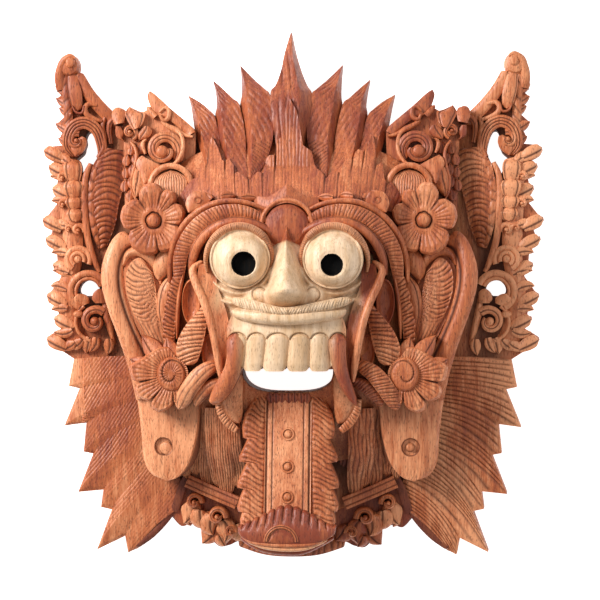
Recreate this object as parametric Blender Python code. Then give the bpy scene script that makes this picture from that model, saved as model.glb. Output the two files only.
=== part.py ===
"""A carved wooden witch mask with a spiked crown, long ears, hanging tongue and two openwork wings.

The mask lies on its back: +Z points out of the face, +Y points to the top of the crown, and the
origin is under the middle of the whole mask. Sizes are in millimetres and become metres in solid().
It is three pieces of wood: the block with the face and, butted against its sides, a wing each side.
Carved bands are listed as stations, each the place, the height of the crest and half the width.
"""
import math

import bmesh
import bpy
from mathutils import Vector

MM = 0.001

# Face block and the joints to the wings
BLOCK_HALF_WIDTH = 86.0
BLOCK_THICKNESS = 30.0
BLOCK_TOP = 146.0
BLOCK_BOTTOM = -172.0
WING_THICKNESS = 19.0
WING_TILT_DEG = 5.0
WING_RELIEF = 10.0
JOINT_GAP = 0.4
OVERHANG = WING_THICKNESS + WING_RELIEF - 1.0

# Carved ground of the block: a low field with one broad swelling, and the cheeks raised on that
GROUND_LOW = 28.0
GROUND_RISE = 60.0
GROUND_MIDDLE = 10.0
GROUND_HALF_WIDTH = 105.0
GROUND_UP = 105.0
GROUND_DOWN = 125.0
CHEEK_RISE = 15.0
SINK = 7.0
KNOB_TAPER = 0.76

# Hollow for the wearer's face, and the open mouth
HOLLOW_HALF_WIDTH = 70.0
HOLLOW_UP = 100.0
HOLLOW_DOWN = 84.0
HOLLOW_RIM = 8.0
HOLLOW_DEPTH = 88.0
HOLLOW_MIDDLE = -4.0
HOLLOW_SECTORS = 14
MOUTH_HALF_WIDTH = 37.0
MOUTH_TOP = -60.0
MOUTH_BOTTOM = -79.0

# Eyes, nose and teeth
EYE = (36.7, 28.4)
EYE_RADIUS = 24.0
EYE_FRONT = 121.0
PUPIL = (34.7, 23.0)
PUPIL_RADIUS = 9.0
PUPIL_DEPTH = 7.0
NOSE_FRONT = 140.0
TEETH = 4
TOOTH_PITCH = 15.6
TOOTH_TOP = -31.0
TOOTH_BOTTOM = -59.4
TOOTH_FRONT = 118.0

# Crown spikes, the middle one and each other's tip, foot and half width
CROWN_TIP = 216.3
SPIKE_TIP_FRONT = 30.0
SPIKES = (((42.0, 189.2), (30.0, 118.0), 14.5), ((65.3, 176.7), (44.0, 112.0), 13.5),
          ((85.7, 163.9), (60.0, 106.0), 13.5))

# Ear with its long lobe, and the two flowers beside it
LOBE_BOTTOM = -149.6
LOBE_FRONT = 62.0
LOBE_UNDERSIDE = 38.0
LOBE_STUD = (99.2, -123.7)
LOBE_STUD_RADIUS = 5.0
LOBE_RECESS_RADIUS = 7.6
LOBE_RECESS_DEPTH = 6.0
FLOWER_HIGH = (108.2, 57.2)
FLOWER_HIGH_RADIUS = 25.0
FLOWER_LOW = (94.7, -65.0)
FLOWER_LOW_RADIUS = 27.0

# Tongue, and the collar under it
TONGUE_ROOT = -79.6
TONGUE_END = -199.0
TONGUE_THICKNESS = 13.0
TONGUE_HALF_WIDTH = 33.5
TONGUE_TOOTH = 4.5
TONGUE_ROOT_FRONT = 75.0
TONGUE_END_FRONT = 104.0
TONGUE_STUDS = (-112.1, -136.0, -160.0)
TONGUE_STUD_RADIUS = 4.6
TONGUE_LEAVES = 6
COLLAR_BOTTOM = -216.3
COLLAR_LEAFY_EDGE = ((66, -201), (72, -190), (89, -193), (98, -184), (85, -171), (85, -158))
COLLAR_BASE = 4.5
COLLAR_FRONT = 23.4
BEARD_LOCKS = 4
BEARD_PITCH = 12.0

# Wing, measured out from its joint: edge points of the hair, the fringe and the horn, and the holes
HAIR_TIPS = ((42, -212), (50, -215), (52.5, -201), (76, -212.5), (63.5, -179), (72.5, -177), (70.5, -162.5),
             (91.5, -164.5), (79, -132.5), (87, -131), (84.5, -107), (103, -109.5), (90.5, -78.5),
             (99.5, -76.5))
FRINGE = ((118, -42, -34), (112, -24, -18), (118, -6, 2), (113, 20, 27), (119, 43, 47), (121.5, 58, 64),
          (113.5, 84, 90), (116.5, 103, 107), (120.5, 115, 122))
SERRATION = ((107, 128), (109.3, 140), (106.5, 153), (109, 161), (109.5, 171))
HOLE_HIGH = ((74.5, 120), (76, 131), (82, 134), (85, 125), (93, 113), (85, 98), (80, 103))
HOLE_LOW = ((81, 1), (76, 7), (80, 13), (88, 13), (93, 6), (89, -2))
HORN_KNOB = (97.5, 187.0)
HORN_KNOB_RADIUS = 10.5
HAIR_BACK = ((13, -62, 24, 11), (15, -100, 25, 13), (25, -150, 25, 13), (43, -202.5, 21, 4))
COMB_RIBS = 7
COMB_FOOT = 48.0
COMB_HEIGHT = 66.0
COLUMN_CURLS = 6
COLUMN_CURL_PITCH = 26.0

RED_BROWN = (0.36, 0.115, 0.045, 1.0)
ROUGHNESS = 0.45
SHARP_FROM_DEG = 35.0


def swelling(x, y, half_width, up, down, middle):
    """One in the middle and falling to nothing all round, flat-topped."""
    reach = up if y > middle else down
    return math.exp(-(abs(x) / half_width) ** 4 - (abs(y - middle) / reach) ** 4)


def ground(x, y):
    """Height of the carved ground, with the cheeks."""
    broad = GROUND_RISE * swelling(x, y, GROUND_HALF_WIDTH, GROUND_UP, GROUND_DOWN, GROUND_MIDDLE)
    return GROUND_LOW + broad + CHEEK_RISE * swelling(x, y, 56, 64, 66, -2)


def upright(side=1):
    """Places points of the block as they are, or mirrored."""
    return lambda x, y, z: (side * x, y, z)


def on_wing(side):
    """Places points of a wing: x is measured out from the joint, and the board tilts forward outwards."""
    tilt = math.radians(WING_TILT_DEG)
    root = BLOCK_HALF_WIDTH + JOINT_GAP + WING_THICKNESS * math.sin(tilt)

    def place(x, y, z):
        across = root + x * math.cos(tilt) - z * math.sin(tilt)
        return side * across, y, x * math.sin(tilt) + z * math.cos(tilt)

    return place


def solid(name, rings, group, place=upright(), closed=False):
    """A solid through rings of points: one point makes a tip, and closed joins the last ring to the first."""
    mesh = bmesh.new()
    rows = [[mesh.verts.new(Vector(place(*point)) * MM) for point in ring] for ring in rings]
    for one, two in zip(rows, rows[1:] + (rows[:1] if closed else [])):
        count = max(len(one), len(two))
        for i in range(count):
            j = (i + 1) % count
            corners = [one[i % len(one)], one[j % len(one)], two[j % len(two)], two[i % len(two)]]
            mesh.faces.new(list(dict.fromkeys(corners)))
    for row in (rows[0], rows[-1]):
        if len(row) > 2 and not closed:
            mesh.faces.new(row)
    bmesh.ops.triangulate(mesh, faces=mesh.faces)
    bmesh.ops.recalc_face_normals(mesh, faces=mesh.faces)
    data = bpy.data.meshes.new(name)
    mesh.to_mesh(data)
    mesh.free()
    data.shade_smooth()
    data.set_sharp_from_angle(angle=math.radians(SHARP_FROM_DEG))
    shape = bpy.data.objects.new(name, data)
    shape.display_type = "WIRE"
    shape.hide_render = True
    group.objects.link(shape)
    return shape


def circle(centre, radii, z, sectors):
    """Points round an oval, turned so that none lies on its axes."""
    turns = [2 * math.pi * (k + 0.37) / sectors for k in range(sectors)]
    return [(centre[0] + radii[0] * math.cos(t), centre[1] + radii[1] * math.sin(t), z) for t in turns]


def slab(name, outline, base, top, group, place=upright()):
    """A board cut to an outline."""
    return solid(name, [[(x, y, base) for x, y in outline], [(x, y, top) for x, y in outline]], group, place)


def band(name, stations, group, place=upright(), base=None, flat=0.4):
    """A carved band from station to station, sunk in the ground. Flat is its crest's share of its width."""
    rings = []
    for i, (x, y, crest, half) in enumerate(stations):
        before, after = stations[max(i - 1, 0)], stations[min(i + 1, len(stations) - 1)]
        along = Vector((after[0] - before[0], after[1] - before[1])).normalized()
        low = min(ground(x, y), crest) - SINK if base is None else base
        if not half:
            rings.append([(x, y, crest)])
            continue
        shape = [(-1, low), (-flat, crest), (flat, crest), (1, low)]
        if not flat:
            shape[1:3] = [(0, crest)]
        rings.append([(x - along.y * half * a, y + along.x * half * a, z) for a, z in shape])
    return solid(name, rings, group, place)


def knob(name, centre, radii, base, front, group, place=upright(), sectors=8):
    """A round boss that narrows to its flat front."""
    shrunk = (radii[0] * KNOB_TAPER, radii[1] * KNOB_TAPER)
    rings = [circle(centre, radii, base, sectors), circle(centre, shrunk, front, sectors)]
    return solid(name, rings, group, place)


def eyeball(name, centre, radius, base, front, group, place, sectors=12):
    """A ball bulging from the face, cut off behind."""
    rings = [circle(centre, (radius, radius), base, sectors)]
    for turn in (0.15, 0.75):
        shrunk = radius * math.cos(turn)
        rings.append(circle(centre, (shrunk, shrunk), base + (front - base) * math.sin(turn), sectors))
    return solid(name, rings + [[(*centre, front)]], group, place)


def flower(name, centre, radius, petals, base, rim, cup, group, place, turn):
    """A flower whose edge swells once for each petal, dished towards the middle."""
    sectors = petals * 4
    turns = [2 * math.pi * k / sectors for k in range(sectors)]
    edge = [radius * (0.74 + 0.26 * abs(math.cos(petals * (t - turn) / 2)) ** 0.6) for t in turns]
    ring = [(centre[0] + r * math.cos(t), centre[1] + r * math.sin(t)) for r, t in zip(edge, turns)]
    rings = [[(x, y, z) for x, y in ring] for z in (base, rim)] + [[(*centre, rim - cup)]]
    return solid(name, rings, group, place)


def relief(name, middle, reach, base, group, sectors, shares):
    """The ground's surface over a rounded rectangle: reach is how far it goes sideways, up and down."""
    def ring(share, flat=None):
        points = []
        for k in range(sectors):
            c = math.cos(2 * math.pi * (k + 0.5) / sectors)
            s = math.sin(2 * math.pi * (k + 0.5) / sectors)
            x = share * reach[0] * math.copysign(abs(c) ** 0.7, c)
            y = middle + share * (reach[1] if s > 0 else reach[2]) * math.copysign(abs(s) ** 0.7, s)
            points.append((x, y, ground(x, y) if flat is None else flat))
        return points

    rings = [ring(1.0, base)] + [ring(share) for share in shares] + [[(0, middle, ground(0, middle))]]
    return solid(name, rings, group)


def block(group):
    """The board behind the face, as wide as the space between the wings."""
    half = [(0, BLOCK_TOP), (BLOCK_HALF_WIDTH - 16, BLOCK_TOP), (BLOCK_HALF_WIDTH, BLOCK_TOP - 22),
            (BLOCK_HALF_WIDTH, BLOCK_BOTTOM + 24), (BLOCK_HALF_WIDTH - 30, BLOCK_BOTTOM),
            (0, BLOCK_BOTTOM - 20)]
    outline = half + [(-x, y) for x, y in half[-2:0:-1]]
    return slab("block", outline, 0.0, BLOCK_THICKNESS, group)


def face(shapes):
    relief("ground", GROUND_MIDDLE, (122, 118, 150), OVERHANG, shapes, 16, (1.0, 0.82, 0.5))
    knob("forehead_half_disc", (0, 57.0), (18, 17), 70, 96, shapes)
    crest = [(0, 86.5), (9, 81.5), (23.5, 78.4), (18.1, 63.7), (9, 74), (0, 76.5)]
    slab("forehead_crest", crest + [(-x, y) for x, y in crest[-2:0:-1]], 70, 94, shapes)
    ridge = [(0, 54, 97, 7), (0, 40, 106, 9), (0, 22, 122, 13), (0, 5, NOSE_FRONT, 18), (0, -5, 133, 18),
             (0, -11, 119, 15)]
    band("nose", ridge, shapes)
    moustache = [(-48, -8, 114, 4), (-32, -11.5, 121, 6), (0, -14, 127, 6), (32, -11.5, 121, 6),
                 (48, -8, 114, 4)]
    band("moustache", moustache, shapes)
    lip = [(-46, -17, 112, 5), (-31, -19, 123, 7), (0, -21, 128, 7), (31, -19, 123, 7), (46, -17, 112, 5)]
    band("upper_lip", lip, shapes)
    gum = [(-46, -29, 108, 8), (-24, -29, 115, 8.5), (24, -29, 115, 8.5), (46, -29, 108, 8)]
    band("gum", gum, shapes)
    for k in range(TEETH):
        x = (k - (TEETH - 1) / 2) * TOOTH_PITCH
        front = TOOTH_FRONT - abs(x) * 0.12
        half = TOOTH_PITCH / 2 + 0.4
        tooth = [(x, TOOTH_TOP, front - 1.5, half), (x, -46, front, half),
                 (x, TOOTH_BOTTOM, front - 3, half - 1)]
        band(f"tooth_{k + 1}", tooth, shapes, base=80, flat=0.82)


def face_side(shapes, cutters, place, mark):
    eyeball(f"eye_{mark}", EYE, EYE_RADIUS, 84, EYE_FRONT, shapes, place)
    slab(f"pupil_{mark}", [p[:2] for p in circle(PUPIL, (PUPIL_RADIUS, PUPIL_RADIUS), 0, 10)],
         EYE_FRONT - PUPIL_DEPTH - 1, EYE_FRONT + 20, cutters, place)
    knob(f"nostril_{mark}", (18.5, -1.5), (8, 6.5), 92, 127, shapes, place)
    lid = [(13, 38, 98, 5), (22, 52, 103, 6), (38, 57.5, 105, 6), (56, 49, 102, 6), (66, 31, 98, 6),
           (69, 12, 93, 5)]
    band(f"eyelid_{mark}", lid, shapes, place)
    fold = [(17, 53, 95, 5), (31, 65, 98, 7), (49, 67, 97, 7), (67, 54, 94, 7), (78, 33, 88, 7),
            (80, 12, 80, 5)]
    band(f"brow_fold_{mark}", fold, shapes, place)
    brow = [(19, 63, 96, 5), (32, 74, 98, 8), (49, 76, 97, 8.5), (74, 63, 92, 9), (88, 37, 86, 9),
            (91, 12, 79, 8),
            (95.5, -10, 75, 7.5), (99, -42, 70, 7)]
    band(f"brow_{mark}", brow, shapes, place)
    pouch = [(12, 7, 107, 5), (28, -1, 110, 6.5), (46, 0, 107, 6.5), (62, 14, 100, 5)]
    band(f"eye_pouch_{mark}", pouch, shapes, place, flat=0)
    flap = [(77, 27, 95, 4), (73, 10, 101, 6), (62.5, -18, 106, 6), (54, -42, 107, 5.5), (48, -66, 100, 4.5)]
    band(f"cheek_flap_{mark}", flap, shapes, place, flat=0)
    comb = [(64, -4, 78, 5), (73, -20, 83, 11), (77, -40, 83, 12), (70, -62, 78, 10), (62, -76, 74, 4)]
    band(f"cheek_comb_{mark}", comb, shapes, place, flat=0)
    canine = [(38, -33, 111, 8), (43, -47, 113, 7.5), (47, -62, 110, 6.5), (52, -77, 106, 5),
              (56, -88, 101, 0)]
    band(f"fang_{mark}", canine, shapes, place, base=84, flat=0.35)
    jaw = [(44, -62, 80, 9), (49, -80, 80, 10), (50, -100, 76, 10), (47, -118, 66, 5)]
    band(f"jaw_{mark}", jaw, shapes, place, flat=0)
    curl = [(60, -88, 78, 6), (74, -91, 84, 8), (88, -84, 84, 8), (98, -70, 82, 7)]
    band(f"cheek_curl_{mark}", curl, shapes, place, flat=0)


def crown(shapes):
    spike = [(0, 78, 82, 27), (0, 112, 62, 27), (0, 164, 46, 17), (0, CROWN_TIP, SPIKE_TIP_FRONT, 0)]
    band("spike_middle", spike, shapes, base=14, flat=0.25)


def crown_side(shapes, place, mark):
    for k, (tip, foot, half) in enumerate(SPIKES):
        low = 15 + 0.7 * k
        waist = (foot[0] + (tip[0] - foot[0]) * 0.42, foot[1] + (tip[1] - foot[1]) * 0.42)
        spike = [(foot[0] - 8, foot[1] - 26, 58 + low, half), (*foot, 42 + low, half),
                 (*waist, 28 + low, half * 0.9),
                 (*tip, SPIKE_TIP_FRONT + low - 15, 0)]
        band(f"spike_{k + 1}_{mark}", spike, shapes, place, base=low, flat=0.25)
    tufts = ((11, 121, 8), (20, 106, 7), (30.5, 98, 6.5), (43, 104, 7), (53.5, 114, 7), (66, 129, 8),
             (75.5, 108, 7))
    for k, (x, y, half) in enumerate(tufts):
        tip = ground(x, y) + 5
        lock = [(x * 0.95, 70, ground(x, 70) + 8, half), (x, y - 13, ground(x, y - 13) + 9, half),
                (x, y, tip, 1)]
        band(f"tuft_{k + 1}_{mark}", lock, shapes, place, flat=0)
    panel = [(76, 62), (76, 131), (98, 149), (116.8, 164.6), (119, 150), (131, 151), (136, 144.5), (142, 150),
             (143, 128), (140, 60), (120, 40)]
    slab(f"side_panel_{mark}", panel, OVERHANG, 46, shapes, place)
    knob(f"panel_scroll_{mark}", (106, 115.6), (15, 15), 36, 56, shapes, place)
    knob(f"hair_roll_{mark}", (95, 88), (16, 17), 36, 63, shapes, place)
    leaf = [(86, 126, 50, 6), (101, 139, 53, 8), (110, 153, 51, 6), (116, 163.5, 46, 0)]
    band(f"panel_leaf_{mark}", leaf, shapes, place, base=37, flat=0)
    bud = [(126, 122, 50, 7), (133, 138, 54, 8), (136, 148, 47, 1)]
    band(f"panel_bud_{mark}", bud, shapes, place, base=38, flat=0)


def ear_side(shapes, cutters, place, mark):
    lobe = [(122, -6, 62, 24), (109, -60, 61, 21), (99, -92, LOBE_FRONT, 28), (98, -122, LOBE_FRONT, 25),
            (101.4, LOBE_BOTTOM, LOBE_FRONT - 5, 10)]
    band(f"ear_lobe_{mark}", lobe, shapes, place, base=LOBE_UNDERSIDE, flat=0.75)
    rim = [(110, 42, 66, 8), (128, 44, 72, 9), (143, 26, 77, 10), (141, -8, 78, 10), (131, -42, 75, 9),
           (119, -82, 68, 7)]
    band(f"ear_rim_{mark}", rim, shapes, place, base=OVERHANG, flat=0.35)
    basin = [(98, 44), (130, 46), (140, 20), (134, -30), (118, -78), (96, -60)]
    slab(f"ear_basin_{mark}", basin, OVERHANG + 1, 53, shapes, place)
    shell = [(118, 27, 68, 7), (124, 8, 72, 12), (118, -16, 68, 7)]
    band(f"ear_shell_{mark}", shell, shapes, place, base=46, flat=0)
    floor = LOBE_FRONT - LOBE_RECESS_DEPTH
    rings = [circle(LOBE_STUD, (radius, radius), z, 8) for radius, z in
             ((LOBE_RECESS_RADIUS, floor), (LOBE_RECESS_RADIUS, LOBE_FRONT + 8),
              (LOBE_STUD_RADIUS, LOBE_FRONT + 8),
              (LOBE_STUD_RADIUS, floor))]
    solid(f"lobe_recess_{mark}", rings, cutters, place, closed=True)
    flower(f"flower_high_{mark}", FLOWER_HIGH, FLOWER_HIGH_RADIUS, 5, 40, 79, 7, shapes, place, 1.4)
    knob(f"flower_high_eye_{mark}", FLOWER_HIGH, (7, 7), 66, 82, shapes, place)
    flower(f"flower_low_{mark}", FLOWER_LOW, FLOWER_LOW_RADIUS, 6, 42, 81, 6, shapes, place, 0.2)
    knob(f"flower_low_eye_{mark}", (FLOWER_LOW[0] - 3, FLOWER_LOW[1] - 1), (12, 11), 66, 86, shapes, place)
    leaf = [(97, -52, 78, 6), (108, -42, 79, 7), (113, -28, 74, 0)]
    band(f"flower_low_leaf_{mark}", leaf, shapes, place, base=56, flat=0)


def tongue_front(y):
    """Height of the tongue's front, which leans forward towards its end."""
    share = (y - TONGUE_ROOT) / (TONGUE_END - TONGUE_ROOT)
    return TONGUE_ROOT_FRONT + (TONGUE_END_FRONT - TONGUE_ROOT_FRONT) * share


def tongue(shapes):
    """A plank that leans out from the chin and curls up at its end, toothed down both sides."""
    line = [(TONGUE_ROOT, 0.0)]
    pitch = (TONGUE_ROOT - TONGUE_END - 18) / TONGUE_LEAVES
    for k in range(TONGUE_LEAVES):
        y = TONGUE_ROOT - 5 - pitch * k
        line += [(y - pitch * 0.8, TONGUE_TOOTH), (y - pitch * 0.95, 0.0)]
    line += [(TONGUE_END + 7, 2.0), (TONGUE_END, -11.0)]
    rings = []
    for y, tooth in line:
        front = tongue_front(y)
        half = TONGUE_HALF_WIDTH + 5 * (y - TONGUE_ROOT) / (TONGUE_END - TONGUE_ROOT) + tooth
        under = front - TONGUE_THICKNESS
        rings.append([(-half, y, under), (-half * 0.62, y, front), (half * 0.62, y, front), (half, y, under)])
    solid("tongue_plank", rings, shapes)
    for k, y in enumerate(TONGUE_STUDS):
        front = tongue_front(y)
        knob(f"tongue_stud_{k + 1}", (0, y), (TONGUE_STUD_RADIUS, TONGUE_STUD_RADIUS), front - 6, front + 4,
             shapes)
    curl = [(-37, -190, 105, 7), (-20, -187, 112, 11), (20, -187, 112, 11), (37, -190, 105, 7)]
    band("tongue_curl", curl, shapes, base=92, flat=0.5)


def collar(shapes):
    """The leafy board under the chin, in one outline with its rim."""
    half = [(0, COLLAR_BOTTOM), (22, COLLAR_BOTTOM), (42, COLLAR_BOTTOM + 8), (59, COLLAR_BOTTOM + 7),
            *COLLAR_LEAFY_EDGE,
            (0, COLLAR_LEAFY_EDGE[-1][1])]
    outline = half + [(-x, y) for x, y in half[-2:0:-1]]
    slab("collar_board", outline, COLLAR_BASE, COLLAR_FRONT, shapes)


def collar_side(shapes, place, mark):
    for k in range(BEARD_LOCKS):
        x = 45 + BEARD_PITCH * k
        y = -163 + 3 * k
        lock = [(x + 2, -94, ground(x, -94) + 6, 9), (x + 1, -130, ground(x, -130) + 7, 9),
                (x - 2, y, 42 - k, 0)]
        band(f"beard_lock_{k + 1}_{mark}", lock, shapes, place, base=25 + k * 0.4, flat=0)
    strap = [(84.5, -156, 38, 7), (64, -164, 41, 7), (40, -175, 44, 7)]
    band(f"collar_strap_{mark}", strap, shapes, place, base=20.5)
    for k, (x, y) in enumerate(((85, -176), (66, -185), (49, -193))):
        leaf = [(x - 12, y + 6, 30 - k, 6), (x + 2, y - 5, 28 - k, 5), (x + 4, y - 8, 24.5, 1)]
        band(f"collar_leaf_{k + 1}_{mark}", leaf, shapes, place, base=17, flat=0)


def cavity(cutters):
    """The hollow behind the face, the mouth that opens into it, and the seats of the wings."""
    rings = []
    for turn, height in ((0.0, -HOLLOW_RIM), (0.0, HOLLOW_RIM), (0.5, None), (1.05, None)):
        share = math.cos(turn) ** 0.8
        if height is None:
            height = HOLLOW_RIM + (HOLLOW_DEPTH - HOLLOW_RIM) * math.sin(turn)
        ring = []
        for k in range(HOLLOW_SECTORS):
            c = math.cos(2 * math.pi * (k + 0.5) / HOLLOW_SECTORS)
            s = math.sin(2 * math.pi * (k + 0.5) / HOLLOW_SECTORS)
            x = HOLLOW_HALF_WIDTH * share * math.copysign(abs(c) ** 0.85, c)
            y = share * (HOLLOW_UP if s > 0 else HOLLOW_DOWN) * math.copysign(abs(s) ** 0.85, s)
            ring.append((x, HOLLOW_MIDDLE + y, height))
        rings.append(ring)
    solid("hollow", rings + [[(0, HOLLOW_MIDDLE, HOLLOW_DEPTH)]], cutters)
    mouth = [(MOUTH_HALF_WIDTH, MOUTH_TOP), (MOUTH_HALF_WIDTH - 3, MOUTH_BOTTOM + 7),
             (MOUTH_HALF_WIDTH - 24, MOUTH_BOTTOM)]
    slab("mouth", mouth + [(-x, y) for x, y in reversed(mouth)], BLOCK_THICKNESS, 100, cutters)
    for side, mark in ((1, "right"), (-1, "left")):
        seat = [(-JOINT_GAP, -260), (150, -260), (150, 260), (-JOINT_GAP, 260)]
        slab(f"wing_seat_{mark}", seat, -40, WING_THICKNESS + WING_RELIEF + JOINT_GAP, cutters, on_wing(side))


def wing_outline():
    """The wing's edge from the joint round by the hair tips, the fringe and the horn, and back."""
    outline = [(0, -154), (11.5, -181.5), *HAIR_TIPS, (95, -54)]
    for reach, low, high in FRINGE:
        outline += [(reach - 9, low - 3), (reach, (low + high) / 2), (reach - 1.5, high)]
    for reach, y in SERRATION:
        outline += [(reach - 5, y - 4), (reach, y + 2)]
    outline += [(101, 181), (89, 179), (74, 164), (62, 148), (54, 142), (0, 142)]
    return outline


def wing(shapes, cutters, place):
    top = WING_THICKNESS
    body = slab("board", wing_outline(), 0.0, top, shapes, place)
    slab("hole_high", HOLE_HIGH, -9, top + 30, cutters, place)
    slab("hole_low", HOLE_LOW, -9, top + 30, cutters, place)
    stem = [(76, 44, 23, 4), (81, 66, 26, 6), (80, 90, 27, 6), (71, 124, 27, 6), (80, 141, 28, 6.5),
            (96, 133, 27, 7)]
    band("stem", stem, shapes, place, base=top - 8.2)
    for k, (x, y, radius) in enumerate(((91, 125.5, 9.5), (79.5, -25, 11.5))):
        knob(f"scroll_{k + 1}", (x, y), (radius, radius), top - 7 - k, 32, shapes, place)
    knob("horn_knob", HORN_KNOB, (HORN_KNOB_RADIUS, HORN_KNOB_RADIUS), 1.5, 31, shapes, place)
    horn = [(64, 150, 23, 6), (76, 161, 26, 8), (96, 182, 26, 8)]
    band("horn", horn, shapes, place, base=top - 6.1)
    for k in range(COLUMN_CURLS):
        y = 100 - COLUMN_CURL_PITCH * k
        curl = [(87.6, y - 14, 27, 5), (92, y + 1, 33 - 0.2 * k, 9), (102, y + 2, 26, 5)]
        band(f"column_curl_{k + 1}", curl, shapes, place, base=top - 4.2 - 0.1 * k, flat=0)
    band("horn_column", [(101, 168, 26, 6), (101, 130, 26, 8)], shapes, place, base=top - 5.3, flat=0)
    for k, (reach, low, high) in enumerate(FRINGE):
        middle = (low + high) / 2
        leaf = [(reach - 13, middle - 3, 24, 3.4), (reach - 2, middle + 0.3, 20.2, 1.2)]
        band(f"fringe_leaf_{k + 1}", leaf, shapes, place, base=top - 3.1 - 0.1 * k, flat=0)
    for k in range(COMB_RIBS):
        y = COMB_FOOT + COMB_HEIGHT * (k + 0.5) / COMB_RIBS
        bow = 7 * math.sin(math.pi * (k + 0.5) / COMB_RIBS)
        rib = [(57 - bow * 0.4, y - 6, 24, 4.5), (67, y + 1, 29 - 0.1 * k, 5.2),
               (75 + bow * 0.5, y - 2, 24, 3)]
        band(f"comb_rib_{k + 1}", rib, shapes, place, base=top - 2.2 - 0.1 * k, flat=0)
    for k in range(len(HAIR_TIPS) // 2):
        tip = HAIR_TIPS[2 * k + 1]
        x, y = 46 - 3.4 * (6 - k), -60 - 16 * (6 - k)
        lock = [(x, y, 26 - 0.2 * k, 12), ((x + tip[0]) / 2 + 4, (y + tip[1]) / 2 + 5, 26, 11),
                (tip[0] - 1.5, tip[1] + 1.2, 20, 0)]
        band(f"hair_lock_{k + 1}", lock, shapes, place, base=top - 5.6 - 0.3 * k, flat=0)
    band("hair_back", HAIR_BACK, shapes, place, base=top - 7.3, flat=0.3)
    return body


def groups_for(name):
    """One group for the shapes of a piece of wood, and one for what is cut out of it."""
    groups = []
    for role in ("shapes", "cutters"):
        group = bpy.data.collections.new(f"{name}_{role}")
        bpy.context.scene.collection.children.link(group)
        groups.append(group)
    return groups


def wood(name):
    finish = bpy.data.materials.new(f"{name}_wood")
    finish.use_nodes = True
    shader = finish.node_tree.nodes["Principled BSDF"]
    shader.inputs["Base Color"].default_value = RED_BROWN
    shader.inputs["Roughness"].default_value = ROUGHNESS
    shader.inputs["Metallic"].default_value = 0.0
    return finish


def carve(name, body, shapes, cutters):
    """Joins every shape to the body, then takes every cutter away."""
    shapes.objects.unlink(body)
    bpy.context.scene.collection.objects.link(body)
    body.name = name
    body.hide_render = False
    body.display_type = "SOLID"
    body.data.materials.append(wood(name))
    for title, operation, group in (("join", "UNION", shapes), ("cut", "DIFFERENCE", cutters)):
        modifier = body.modifiers.new(title, "BOOLEAN")
        modifier.operation = operation
        modifier.operand_type = "COLLECTION"
        modifier.collection = group
        modifier.solver = "MANIFOLD"
    weld = body.modifiers.new("weld", "WELD")
    weld.merge_threshold = 0.000001
    flatten = body.modifiers.new("flatten", "DECIMATE")
    flatten.decimate_type = "DISSOLVE"
    flatten.angle_limit = math.radians(0.5)


def main():
    for old in list(bpy.data.objects):
        bpy.data.objects.remove(old)

    shapes, cutters = groups_for("mask")
    body = block(shapes)
    face(shapes)
    crown(shapes)
    tongue(shapes)
    collar(shapes)
    for side, mark in ((1, "right"), (-1, "left")):
        place = upright(side)
        face_side(shapes, cutters, place, mark)
        crown_side(shapes, place, mark)
        ear_side(shapes, cutters, place, mark)
        collar_side(shapes, place, mark)
    cavity(cutters)
    carve("mask", body, shapes, cutters)

    for side, mark in ((1, "right"), (-1, "left")):
        shapes, cutters = groups_for(f"{mark}_wing")
        body = wing(shapes, cutters, on_wing(side))
        carve(f"{mark}_wing", body, shapes, cutters)


main()
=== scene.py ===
"""Dresses the carved witch mask: every face of the wood is carved in full over the plain frame.

Each operator carves one region. Points are in millimetres in the frame's axes, +Z out of the face and
+Y to the top of the crown, and become metres when a mesh is made. The right half is carved and repeated
on the left. Three shares are kept at each point for the wood's colour: crest, from 0 in a groove to 1 on
top, where a low crest paints shade into the grooves and onto shaded walls; tone, from 0 for light to 1 for
dark red wood, which some parts also use to paint one side lighter or darker as the light falls; and sap,
from 0 for heartwood to 1 for sapwood.
"""
import math

import bpy
import numpy as np
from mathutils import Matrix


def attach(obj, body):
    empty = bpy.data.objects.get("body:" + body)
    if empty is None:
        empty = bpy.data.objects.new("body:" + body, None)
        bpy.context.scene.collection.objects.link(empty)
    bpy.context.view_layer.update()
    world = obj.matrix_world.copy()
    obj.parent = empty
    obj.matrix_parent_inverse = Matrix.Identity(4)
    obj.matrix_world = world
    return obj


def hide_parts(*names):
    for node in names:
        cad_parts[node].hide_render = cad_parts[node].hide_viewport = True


bl_info = {
    "name": "Carved Witch Mask",
    "version": (1, 0, 0),
    "blender": (4, 5, 0),
    "location": "3D View > Sidebar > Mask",
    "description": "Carves the face, crown, ears, tongue and wings of a wooden mask",
    "category": "Object",
}

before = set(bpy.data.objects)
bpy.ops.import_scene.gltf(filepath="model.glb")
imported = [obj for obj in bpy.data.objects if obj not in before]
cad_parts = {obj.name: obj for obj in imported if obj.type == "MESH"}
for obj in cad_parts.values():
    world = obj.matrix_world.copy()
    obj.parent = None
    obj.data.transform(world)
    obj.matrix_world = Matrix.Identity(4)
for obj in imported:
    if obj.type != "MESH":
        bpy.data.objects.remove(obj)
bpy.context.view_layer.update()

MM = 0.001
SINK = 7.0
LEAST_WALL = 0.6

# Shared with the solids: the block, the wings' joints, the eyes and the pupils

BLOCK_HALF_WIDTH = 86.0
BLOCK_THICKNESS = 30.0
WING_THICKNESS = 19.0
WING_TILT = math.radians(5.0)
JOINT_GAP = 0.4
WING_ROOT = BLOCK_HALF_WIDTH + JOINT_GAP + WING_THICKNESS * math.sin(WING_TILT)
OVERHANG = BLOCK_THICKNESS - 0.5
EYE = (36.4, 27.6)
PUPILS = {1: (35.9, 22.4), -1: (32.8, 23.2)}
PUPIL_SIZES = {1: 0.91, -1: 1.0}
TOOTH_GAPS = (-18.6, 0.4, 18.0)


# The ground that the carving stands on

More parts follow.
